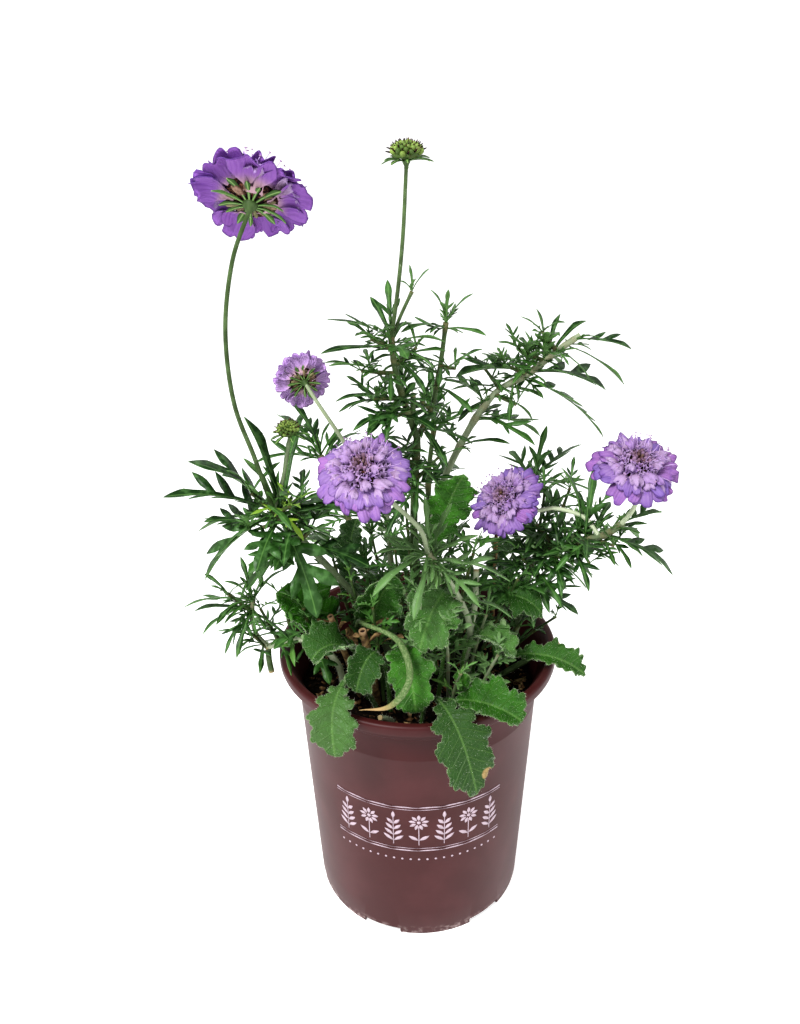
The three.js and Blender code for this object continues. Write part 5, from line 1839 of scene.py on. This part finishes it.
def tube_rings(path: Path, radii: Flat, step: float = 3.0) -> list[tuple[Vector, Vector, float]]:
    """Gives the rings of a tapered tube along a path.

    Args:
        path: its line.
        radii: its radii at both ends.
        step: the distance between its rings.

    Returns:
        The centre, the direction and the radius of each ring.
    """
    count = max(4, int(path.length / step))
    return [(path.at(share), path.ahead(share).normalized(), radii[0] + (radii[1] - radii[0]) * share)
            for share in (row / count for row in range(count + 1))]


def basal_shape(leaf: BasalLeaf, number: int) -> Shape:
    """Makes the fine blade and the petiole of a basal leaf.

    Args:
        leaf: the leaf.
        number: which leaf it is, for its small irregularities.

    Returns:
        The shape.
    """
    draw = random.Random(300 + number)
    foot, tip, half = Vector(leaf.petiole[-1]), Vector(leaf.tip), leaf.width / 2
    bend = Bend(foot, Vector(leaf.crest), tip)
    length = bend.length()
    widest = max(offset for rung in OUTLINES[leaf.cut] for offset in rung[1::2])
    pattern = BroadBlade(leaf.cut, length, half / widest, number).pattern()
    across = Vector(leaf.face).cross((tip - foot).normalized()).normalized()
    phase, fold = draw.uniform(0, math.tau), draw.uniform(0.3, 0.65)
    curl, twist = draw.choice((-1, 1)) * draw.uniform(3, 5.5), draw.uniform(-0.45, 0.45)
    spots, normals, browned = [], [], []
    for along, offset in pattern.places:
        share = min(1.0, max(0.0, along / length))
        normal = bend.tangent(share).cross(across).normalized()
        rim = (abs(offset) / half) ** 2
        side = 1.6 if offset > 0 else 0
        ruffle = 1.7 * rim * math.sin(0.5 * along + phase + side) + 1.1 * rim * math.sin(1.15 * along + side)
        quilt = 0.5 * math.sin(math.tau * (along - BASAL_BLADE.slant * abs(offset)) / BASAL_BLADE.vein_step)
        lift = fold * abs(offset) + ruffle + quilt * min(1, abs(offset) / 3)
        lift += curl * rim * (0.4 + 0.6 * share) + twist * offset * share
        beyond = bend.tangent(share) * (along - share * length)
        spots.append(bend.at(share) + across * offset + normal * lift + beyond)
        normals.append(normal)
        browned.append(1 - smoothstep((spots[-1] - Vector(leaf.spot)).length, 2.5, 6.5) if leaf.spot else 0.0)
    shape = Shape().add_plate(
        spots, normals, BLADE_THICKNESS, pattern.faces, edge=pattern.edge, along=pattern.places[:, 0],
        offset=np.abs(pattern.places[:, 1]), spot=browned, hairy=0.22 + pattern.edge,
        tint=leaf.tint + draw.uniform(-0.12, 0.12), pale=leaf.pale,
    )
    rings = tube_rings(Path(leaf.petiole, rooted=True), PETIOLE_RADII)
    add_rings(shape, rings, 8, offset=0.5, along=1.3, tint=leaf.tint, pale=leaf.pale, hairy=1.0)
    return shape


@dataclass(frozen=True)
class Line:
    """A stem's line: its path, its radii at both ends, its joints in millimetres along it, how downy it is
    and whether it ends in a cut."""

    path: Path
    radii: Flat
    joints: Sequence[float]
    downy: float
    cut: bool


class Plant:
    """The stems and the leaves."""

    # Step between a stem's points and depth of a cut end's colour, in millimetres
    STEP = 2.2
    CUT_DEPTH = 1.2
    # How far a joint swells its stem and browns it, each with its reach in millimetres
    KNOT = (0.28, 2.2)
    MARK = (0.6, 1.6)
    # How far a dying stalk bulges, narrows and turns brown, each with the shares between which it does
    BULGE = (0.55, 0.58, 0.72)
    TAPER = (0.85, 0.86, 1.0)
    BROWN = (1.0, 0.84, 0.97)

    def __init__(self, nodes: dict[str, Object]) -> None:
        """Keeps the frame's nodes and the recipes that the pieces share.

        Args:
            nodes: the frame's objects by name.
        """
        self.nodes = nodes
        self.tubes, self.hairs = tube_recipe(), hair_recipe()
        self.paths = {
            node: [Path(branch.path, rooted=k == 0) for k, branch in enumerate(branches)]
            for node, branches in STEMS.items()
        }

    def build(self) -> None:
        """Builds every stem with its leaves, every basal leaf, the mound's shoots and the dry remains."""
        for number, node in enumerate(STEMS):
            self._build_stem(node)
            self._build_stem_leaves(node, number)
        for number, (node, leaf) in enumerate(BASAL_LEAVES.items()):
            piece = basal_shape(leaf, number).piece(f"{node}_blade", BASAL_BLADE)
            settle(piece, [node])
            self._add_down(piece, f"{node}_down", density=0.9e6, length=1.1)
        self._build_shoots("mound", SHOOTS, 0.5)
        self._build_shoots("cluster", SPRAYS, 0.15)
        self._build_dry_remains()

    def _add_down(self, piece: Object, name: str, density: float, length: float) -> None:
        """Adds short hairs where a piece's value "hairy" is high.

        Args:
            piece: the hairy piece.
            name: the name of the hairs.
            density: hairs on each square metre.
            length: their length in millimetres.
        """
        hairs = self.hairs.run(name, DOWN, {
            "density": density, "length": length * MM, "width": 0.045 * MM, "seed": 2,
        }, piece.data.copy())
        settle(hairs)

    def _line_mesh(self, name: str, lines: Sequence[Line], dying: float = 0.0) -> Mesh:
        """Makes the lines that the tube recipe turns to stems.

        Args:
            name: the mesh's name.
            lines: the lines.
            dying: how far the lines wither to a point at their ends.

        Returns:
            The mesh, with the values of its points.
        """
        points, edges = [], []
        values: dict[str, list[float]] = {"radius": [], "pale": [], "hairy": [], "joint": [], "cut": []}
        for line in lines:
            path, (foot, end) = line.path, line.radii
            count = max(6, int(path.length / self.STEP))
            edges.extend((i, i + 1) for i in range(len(points), len(points) + count))
            for share in (step / count for step in range(count + 1)):
                near = min((abs(share * path.length - joint) for joint in line.joints), default=math.inf)
                knot, mark = (most * math.exp(-(near / reach) ** 2) for most, reach in (self.KNOT, self.MARK))
                bulge, taper, brown = (dying * most * smoothstep(share, *span)
                                       for most, *span in (self.BULGE, self.TAPER, self.BROWN))
                cut = float(line.cut and (1 - share) * path.length < self.CUT_DEPTH)
                radius = (foot + (end - foot) * share) * (1 + knot) * (1 + bulge) * (1 - taper)
                points.append(path.at(share) * MM)
                row = (radius * MM, line.downy, line.downy, mark, max(cut, brown))
                for column, value in zip(values.values(), row):
                    column.append(value)
        mesh = bpy.data.meshes.new(name)
        mesh.from_pydata(points, edges, [])
        for key, column in values.items():
            mesh.attributes.new(key, "FLOAT", "POINT").data.foreach_set("value", column)
        return mesh

    def _build_stem(self, node: str) -> None:
        """Builds the round branches of one stem.

        Args:
            node: the stem's name.
        """
        style = STYLES.get(node, StemStyle())
        lines = []
        for k, (branch, path) in enumerate(zip(STEMS[node], self.paths[node])):
            joints = [leaf[0] * path.length for leaf in branch.leaves]
            lines.append(Line(path, branch.radii, joints, style.downy.get(k, 0.1), k in style.cut_ends))
        dry = node == "dry_stem"
        finish, slot = (WITHERED_STALK, "dry_stem") if dry else (STEM_SKIN, "stem_and_leaf")
        mesh = self._line_mesh(node, lines, float(dry))
        piece = self.tubes.run(f"{node}_branches", finish, {"sides": 10}, mesh)
        settle(piece, [node])
        if not dry:
            self._add_down(piece, f"{node}_down", density=0.8e6, length=1.2)

    def _placed_leaves(self, node: str) -> list[StemLeaf]:
        """Finds where the frame's leaves of a stem stand.

        Args:
            node: the stem's name.

        Returns:
            The leaves, each at the turn and tilt that it has in the frame.
        """
        vertices = self.nodes[node].data.vertices
        tree = KDTree(len(vertices))
        for k, vertex in enumerate(vertices):
            tree.insert(vertex.co / MM, k)
        tree.balance()
        found = []
        for branch, path in zip(STEMS[node], self.paths[node]):
            for along, azimuth, rise, length, cut in branch.leaves:
                root = path.at(along)
                tries = (StemLeaf(root, azimuth + turn, rise + tilt, length, cut) for turn, tilt in TRIES)
                found.append(next((leaf for leaf in tries if leaf.is_in(tree)), None))
        return [leaf for leaf in found if leaf]

    def _build_stem_leaves(self, node: str, number: int) -> None:
        """Builds the fine leaves of one stem, with the small leaves in their axils.

        Args:
            node: the stem's name.
            number: which stem it is, for its small irregularities.
        """
        leaves = self._placed_leaves(node)
        if not leaves:
            return
        style = STYLES.get(node, StemStyle())
        draw = random.Random(100 + number)
        shape = Shape()
        values = {"pale": style.leaf_pale, "hairy": style.leaf_pale}
        for leaf in leaves:
            leaf.add_to(shape, draw, tint=draw.uniform(*style.tint), **values)
            for _ in range(style.axil):
                small = StemLeaf(
                    leaf.bend.foot, leaf.azimuth + draw.uniform(-80, 80), leaf.rise + draw.uniform(-25, 50),
                    leaf.length * draw.uniform(0.25, 0.6), draw.choice(AXIL_CUTS),
                )
                small.add_to(shape, draw, tint=draw.uniform(*style.tint) + draw.choice(style.young), **values)
        piece = shape.piece(f"{node}_leaves", STEM_BLADE)
        settle(piece)
        if style.leaf_pale:
            self._add_down(piece, f"{node}_leaf_down", density=0.5e6, length=1.0)

    def _build_shoots(self, name: str, shoots: Sequence[Shoot], first: float) -> None:
        """Builds a group of leafy shoots.

        Args:
            name: the group's name.
            shoots: the shoots.
            first: the share of a shoot's length at which its leaves begin.
        """
        draw = random.Random(name)
        shape, lines = Shape(), []
        for shoot in shoots:
            path = Path(shoot.path, rooted=name == "mound")
            shares = [first + (1 - first) * k / (shoot.pairs - 1) for k in range(shoot.pairs)]
            lines.append(Line(path, (1.2, 0.7), [share * path.length for share in shares], shoot.pale, False))
            turn = draw.uniform(0, 180)
            values = {"pale": shoot.pale, "hairy": shoot.pale}
            for k, share in enumerate(shares):
                for side in range(4):
                    large = side < 2
                    azimuth = 180 * side + 90 * k + turn if large else draw.uniform(0, 360)
                    length = shoot.length * (1.15 - 0.5 * share) * (1 if large else draw.uniform(0.35, 0.6))
                    azimuth += draw.uniform(-25, 25)
                    rise = 60 * share - 25 + draw.uniform(-20, 20)
                    cut = shoot.cut if large else draw.choice(AXIL_CUTS)
                    leaf = StemLeaf(path.at(share), azimuth, rise, length, cut)
                    leaf.add_to(shape, draw, 0.8, tint=shoot.tint + draw.uniform(-0.25, 0.35), **values)
        mesh = self._line_mesh(f"{name}_shoots", lines)
        settle(self.tubes.run(f"{name}_shoots", STEM_SKIN, {"sides": 8}, mesh))
        leaves = shape.piece(f"{name}_leaves", STEM_BLADE)
        settle(leaves)
        if any(shoot.pale for shoot in shoots):
            self._add_down(leaves, f"{name}_down", density=0.3e6, length=1.0)

    def _build_dry_remains(self) -> None:
        """Builds the stumps of old stalks, hollow at their cut ends, and the papery sheaths round them."""
        draw = random.Random(51)
        remains = Shape()
        for points, radius in STUMPS:
            rings = tube_rings(Path(points, rooted=True), (radius * 1.1, radius))
            end, ahead, _ = rings[-1]
            plain = [0.0] * (len(rings) - 1)
            rings += [(end + ahead * 0.3, ahead, radius * 0.75), (end - ahead * 1.5, ahead, radius * 0.6)]
            # the innermost ring is painted shade, near black, down in the hollow end
            add_rings(remains, rings, 12, dark=[*plain, 0.0, 0.2, 1.0], cut=[*plain, 1.0, 1.0, 0.0])
        for root, azimuth, rise, length in SHEATHS:
            StemLeaf(Vector(root), azimuth, rise, length, LANCE, breadth=1.9).add_to(remains, draw, 2.2)
        settle(remains.piece("dry_remains", DRY_STALK))


@dataclass(frozen=True)
class Petal:
    """A petal with round lobes at its end: three points of its middle line and its half width in parts of
    its head's radius, its lobes, the notch between them, its neck, its thickness and its grid."""

    hub: Flat
    crest: Flat
    tip: Flat
    half_width: float
    lobes: int = 3
    notch: float = 0.11
    neck: float = 0.2
    thickness: float = 0.4
    columns: int = 18
    rows: int = 8

    def shape(self, radius: float, draw: random.Random, pale: float) -> Shape:
        """Makes the petal, pointing along +X from its head's middle.

        Args:
            radius: the head's radius in millimetres.
            draw: the source of its small irregularities.
            pale: how pale it is.

        Returns:
            A thin closed shell.
        """
        bend = Bend(*(Vector((x, 0, z)) for x, z in (self.hub, self.crest, self.tip)))
        width = self.half_width * draw.uniform(0.88, 1.12)
        lengths = [draw.uniform(0.97, 1.05) if k == self.lobes // 2 else draw.uniform(0.86, 0.98)
                   for k in range(self.lobes)]
        lifts = [draw.uniform(-0.09, 0.09) for _ in range(self.lobes)]
        twist, sway, phase = draw.uniform(-0.35, 0.35), draw.uniform(-0.1, 0.1), draw.uniform(0, math.tau)
        spots, normals, marks = [], [], []
        for row in range(self.rows + 1):
            for column in range(self.columns + 1):
                side = 2 * column / self.columns - 1
                place = (side + 1) / 2 * self.lobes
                lobe = min(int(place), self.lobes - 1)
                middle = 2 * (place - lobe) - 1
                round_end = 1 - self.notch * (1 - math.sqrt(max(0.0, 1 - middle ** 2)))
                share = (row / self.rows) * lengths[lobe] * round_end
                spread = self.neck + (1 - self.neck) * smoothstep(share, 0.04, 0.55)
                ahead = bend.tangent(share)
                up = Vector((-ahead.z, 0, ahead.x))
                offset = side * width * spread
                lift = lifts[lobe] * (1 - middle ** 2) + 0.05 * math.sin(4 * place + phase)
                lift = lift * smoothstep(share, 0.45, 1.0) + twist * offset * share
                lift += 0.08 * (1 - side * side) * math.sin(math.pi * min(1.0, share))
                aside = Vector((0, offset + sway * share * share, 0))
                spots.append((bend.at(share) + aside + up * lift) * radius)
                normals.append(up)
                # the petal's edge, where the outer petals get their painted shade
                edge = row == self.rows or (column in (0, self.columns) and share > 0.4)
                marks.append((share, side * spread, float(edge), 1 - smoothstep(share, 0.1, 0.5)))
        wide = self.columns + 1
        upper = [(a, a + wide, a + wide + 1, a + 1) for row in range(self.rows)
                 for a in range(row * wide, row * wide + self.columns)]
        reach, across, rim, foot = np.array(marks).T
        keel = np.concatenate([np.zeros(len(foot)), foot])
        return Shape().add_plate(spots, normals, self.thickness, plate_faces(upper, len(spots)), reach=reach,
                                 across=across, rim=rim, keel=keel, outward=1.0, pale=pale)


def floret_cup(radius: float, draw: random.Random, turns: int = 10) -> Shape:
    """Makes a small floret of the dome: a flared cup with five uneven lobes, upright on its foot.

    Args:
        radius: its radius in millimetres.
        draw: the source of its small irregularities.
        turns: points round it, two for each lobe.

    Returns:
        A thin closed shell.
    """
    phase = draw.uniform(0, math.tau)
    steps = [(0.16, -1.2), (0.36, 0.0), (0.74, 0.45), (1.05, 0.5)]
    spots, reach = [], []
    for k, (out, up) in enumerate(steps):
        share = k / (len(steps) - 1)
        for turn, (x, y) in enumerate(circle(1.0, turns)):
            angle = math.tau * turn / turns
            lobe = out * (1 - 0.4 * share * (turn % 2) + 0.25 * share * math.cos(angle + phase))
            wave = 0.25 * share * math.sin(2 * angle + phase)
            spots.append(Vector((x * lobe, y * lobe, up + wave)) * radius)
            reach.append(share)
    rings = [range(k, k + turns) for k in range(0, len(spots), turns)]
    faces = plate_faces([tuple(rings[0]), *(tuple(reversed(face)) for face in skin(rings))], len(spots))
    return Shape().add_plate(spots, [UP] * len(spots), 0.28, faces, reach=reach, rim=np.array(reach) ** 4)


def bead(radius: float, tall: float) -> Shape:
    """Makes a small closed floret in bud: an egg round its middle.

    Args:
        radius: its radius.
        tall: its height in parts of its width.

    Returns:
        A closed shape.
    """
    shape = Shape()
    turns = (math.pi * k / 5 for k in range(6))
    add_rings(shape, [(UP * -math.cos(turn) * radius * tall, UP, radius * max(0.1, math.sin(turn)))
                      for turn in turns], 8)
    return shape


def stamen(length: float, draw: random.Random) -> Shape:
    """Makes a stamen: a thin curved thread with a knob across its end.

    Args:
        length: its length.
        draw: the source of its small irregularities.

    Returns:
        A shape of two closed bodies.
    """
    shape = Shape()
    bow = draw.uniform(0.05, 0.25) * length
    path = Path([(0, 0, 0), (bow, 0, length * 0.5), (bow * 0.6, 0, length)])
    add_rings(shape, tube_rings(path, (0.2, 0.15), length / 4), 3, knob=0.0)
    knob = bead(0.38, 0.6)
    return shape.add(knob.points[0] * (2.0, 1.0, 1.0) + np.array(path.at(1)), knob.faces, knob=1.0)


# Rings of petals in an open head: finish, how many, turn in parts of a step, how far they lean, and the petal
PETAL_RINGS = {
    "rays_low": (RAY, 9, 0.0, 0.16, Petal((0.28, 0.06), (0.64, 0.2), (1.0, 0.02), 0.35)),
    "rays_high": (RAY, 8, 0.5, 0.2, Petal((0.28, 0.11), (0.6, 0.3), (0.9, 0.12), 0.3)),
    "florets_low": (
        FLORET, 13, 0.2, 0.3, Petal((0.34, 0.18), (0.56, 0.38), (0.76, 0.24), 0.16, columns=9, rows=5),
    ),
    "florets_high": (
        FLORET, 15, 0.7, 0.4, Petal((0.38, 0.3), (0.5, 0.46), (0.66, 0.38), 0.11, columns=9, rows=4),
    ),
}


@dataclass
class Head:
    """An open or closed head, built facing +Z and then turned to its place at the end of its branch.

    Its middle is a half ellipsoid, whose radius, foot and height are parts of the head's radius.
    """

    # Inputs of the dome's recipe that differ from crowd to crowd
    CROWD = ("count", "first", "last", "inner", "outer", "lean", "seed")

    name: str
    form: Bloom | Bud
    path: Path
    ring: GeometryRecipe
    dome: GeometryRecipe
    dome_radius: float = 0.48
    dome_foot: float = 0.13
    dome_height: float = 0.4

    def _settle(self, piece: Object, nodes: Sequence[str] = ()) -> None:
        """Turns a piece to the head's place and settles it.

        Args:
            piece: the piece, built facing +Z.
            nodes: the frame's nodes that the piece stands for.
        """
        axis = direction(self.form.azimuth, self.form.rise)
        centre = self.path.at(1) + axis * HEAD_LIFT
        turn = UP.rotation_difference(axis).to_matrix().to_4x4()
        piece.data.transform(Matrix.Translation(centre * MM) @ turn)
        settle(piece, nodes)

    def _add_ring(self, part: str, finish: Finish, kit: Sequence[Shape], nodes: Sequence[str] = (),
                  **values: float) -> None:
        """Adds a ring of petals or calyxes, with the recipe's values."""
        self._settle(self.ring.run(f"{self.name}_{part}", finish, values, kit=kit), nodes)

    def _add_crowd(self, part: str, finish: Finish, kit: Sequence[Shape], values: Sequence[float],
                   nodes: Sequence[str] = ()) -> None:
        """Adds a crowd of small pieces over the dome.

        Args:
            part: the piece's name within the head.
            finish: its finish.
            kit: the small piece's variants.
            values: how many, the shares of the dome from and to which they stand, their scales there, how far
                they lean and the seed.
            nodes: the frame's nodes that the piece stands for.
        """
        unit = self.form.radius * MM
        piece = self.dome.run(f"{self.name}_{part}", finish, {
            "radius": self.dome_radius * unit, "foot": self.dome_foot * unit,
            "height": self.dome_height * unit, **dict(zip(self.CROWD, values)),
        }, kit=kit)
        self._settle(piece, nodes)

    def _add_bracts(self, count: int, reach: float) -> None:
        """Adds the green cup under the head and its ring of narrow bracts.

        Args:
            count: how many bracts.
            reach: how far they reach, in parts of the radius.
        """
        draw, radius = random.Random(self.name), self.form.radius
        profile = [(0, -3.3), (1.1, -3.2), (0.07 * radius, -2.2), (0.11 * radius, -0.9), (0.14 * radius, 0.3),
                   (0.12 * radius, 0.8), (0, 0.9)]
        self._settle(lathe(profile, 20).piece(f"{self.name}_cup", STEM_SKIN))
        shape = Shape()
        for k in range(count):
            turn = 360 * (k + draw.uniform(-0.25, 0.25)) / count
            rise, length = draw.uniform(-8, 8), radius * reach * draw.uniform(0.75, 1.1)
            leaf = StemLeaf(direction(turn, 0) * 0.08 * radius, turn, rise, length, LANCE, breadth=1.5)
            leaf.add_to(shape, draw, tint=draw.uniform(0.0, 0.8))
        self._settle(shape.piece(f"{self.name}_bracts", BRACT))

    def _add_heart(self, finish: Finish) -> None:
        """Adds the dense heart of the head, just under the dome.

        Args:
            finish: its finish.
        """
        radius = self.form.radius
        wide, foot = self.dome_radius * 0.94 * radius, self.dome_foot * radius
        height = (self.dome_height - 0.02) * radius
        angles = np.linspace(0, math.pi / 2 - 0.12, 7)
        rise = [(wide * math.cos(angle), foot + height * math.sin(angle)) for angle in angles]
        profile = [(0, 0.9), (0.12 * radius, 0.9), *rise, (0, foot + height)]
        self._settle(lathe(profile, 24).piece(f"{self.name}_heart", finish))

    def build_bloom(self) -> None:
        """Builds an open head."""
        form, radius = self.form, self.form.radius
        draw = random.Random(self.name)
        seed = draw.randrange(1000)
        for k, (part, (finish, count, turn, lean, petal)) in enumerate(PETAL_RINGS.items()):
            tip = (petal.tip[0], petal.tip[1] + form.tip * (1 - k / len(PETAL_RINGS)))
            kit = [replace(petal, tip=tip).shape(radius, draw, form.pale) for _ in range(5)]
            self._add_ring(
                part, finish, kit, () if k else (self.name,), count=count, turn=turn * math.tau / count,
                lean=lean, jitter=0.2, seed=seed + 10 * k,
            )
        egg = bead(0.05 * radius, 3.2)
        lying = egg.points[0][:, [2, 1, 0]] * (1, 1, -1) + (0.27 * radius, 0, 0.1 * radius)
        calyx = Shape().add(lying, egg.faces)
        self._add_ring("calyx", CALYX, [calyx], count=22, turn=0.0, lean=0.15, jitter=0.15, seed=seed + 5)
        cups = [floret_cup(0.085 * radius, draw) for _ in range(6)]
        stamens = [stamen(0.34 * radius, draw) for _ in range(5)]
        for part, finish, kit, values in (
            ("cups", FLORET, cups, (66, 0.06, 1.0, 0.7, 1.2, 0.4, seed)),
            ("young", YOUNG_FLORET, [bead(0.045 * radius, 1.7)], (13, 0.0, 0.14, 0.8, 1.2, 0.3, seed + 1)),
            ("stamens", STAMEN, stamens, (64, 0.06, 1.0, 0.75, 1.15, 0.35, seed + 2)),
        ):
            self._add_crowd(part, finish, kit, values)
        # the near-black heart shows between the florets: partly the bristles' own colour, partly painted
        # shade
        self._add_heart(HEART)
        self._add_bracts(12, 0.55)

    def build_bud(self) -> None:
        """Builds a closed head."""
        for part, size, tall, count, lean, finish, nodes in (
            ("beads", 0.085, 1.3, 50, 0.0, BUD_SCALE, [self.name]),
            ("bristles", 0.025, 7.0, 60, 0.25, HEART, []),
        ):
            kit = [bead(size * self.form.radius, tall)]
            self._add_crowd(part, finish, kit, (count, 0.0, 1.0, 0.8, 1.15, lean, 4), nodes)
        self._add_heart(BUD_SCALE)
        self._add_bracts(9, 0.85)


def build_heads(paths: dict[str, list[Path]]) -> None:
    """Builds every head on the end of its branch.

    Args:
        paths: the paths of each stem's branches.
    """
    ring, dome = ring_recipe(), dome_recipe()
    for node, branches in STEMS.items():
        for branch, path in zip(branches, paths[node]):
            if branch.head in BLOOMS:
                Head(branch.head, BLOOMS[branch.head], path, ring, dome).build_bloom()
            elif branch.head:
                Head(branch.head, BUDS[branch.head], path, ring, dome).build_bud()


@dataclass
class Studio:
    """The camera at the photograph's viewing angle, a pale floor and soft light."""

    place: Point = (0, -449.9, 482.2)
    pitch: float = 0.4518
    yaw: float = -0.0202
    roll: float = -0.0178
    focal_pixels: float = 880
    image_height: int = 1024
    sensor: float = 36
    floor_radius: float = 6000
    floor_sides: int = 64
    rim_height: float = 4200
    ambience: float = 0.36
    aim: Point = (0, 0, 250)

    def build(self) -> None:
        """Builds the camera, the floor with its raised rim, and the lights."""
        self._add_camera()
        low, high = range(self.floor_sides), range(self.floor_sides, 2 * self.floor_sides)
        ring = circle(self.floor_radius, self.floor_sides)
        floor = Shape().add([(x, y, 0) for x, y in ring], [low])
        rim = Shape().add([(x, y, z) for z in (0, self.rim_height) for x, y in ring], skin([high, low]))
        floor.piece("studio_floor", PAPER)
        rim.piece("studio_rim", BACKLIT_PAPER)
        scene = bpy.context.scene
        scene.view_settings.view_transform = "Standard"
        scene.view_settings.look = "Medium High Contrast"
        scene.world = bpy.data.worlds.new("studio")
        scene.world.use_nodes = True
        tree = scene.world.node_tree
        feed(tree, tree.nodes["Background"], {"Color": (1, 1, 1, 1), "Strength": self.ambience})
        self._add_light("key", (-450, -600, 1150), 300, 15.0)
        self._add_light("fill", (700, -300, 700), 600, 1.5)

    def _add_camera(self) -> None:
        """Adds the camera."""
        data = bpy.data.cameras.new("camera")
        data.sensor_width = self.sensor
        data.lens = self.focal_pixels / self.image_height * self.sensor
        camera = bpy.data.objects.new("camera", data)
        bpy.context.scene.collection.objects.link(camera)
        level = math.cos(self.pitch)
        ahead = Vector((math.sin(self.yaw) * level, math.cos(self.yaw) * level, -math.sin(self.pitch)))
        right = Vector((math.cos(self.yaw), -math.sin(self.yaw), 0))
        up = right.cross(ahead)
        x_axis = right * math.cos(self.roll) + up * math.sin(self.roll)
        y_axis = up * math.cos(self.roll) - right * math.sin(self.roll)
        frame = Matrix((x_axis, y_axis, -ahead)).transposed().to_4x4()
        camera.matrix_world = Matrix.Translation(Vector(self.place) * MM) @ frame
        bpy.context.scene.camera = camera

    def _add_light(self, name: str, place: Point, size: float, power: float) -> None:
        """Adds a soft square light that looks at the plant.

        Args:
            name: its name.
            place: where it hangs.
            size: its side.
            power: its power in watts.
        """
        data = bpy.data.lights.new(name, "AREA")
        data.size = size * MM
        data.energy = power
        light = bpy.data.objects.new(name, data)
        light.location = Vector(place) * MM
        light.rotation_euler = (Vector(self.aim) - Vector(place)).to_track_quat("-Z", "Y").to_euler()
        bpy.context.scene.collection.objects.link(light)


def main() -> None:
    """Builds the pot, the soil, the plant and its heads around the frame."""
    logging.basicConfig(level=logging.INFO, format="%(message)s")
    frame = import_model()
    Studio().build()
    pot = Pot()
    pot.build()
    PotPrint(pot).build()
    Soil(pot).build()
    plant = Plant(frame["nodes"])
    plant.build()
    build_heads(plant.paths)


if __name__ == "__main__":
    main()
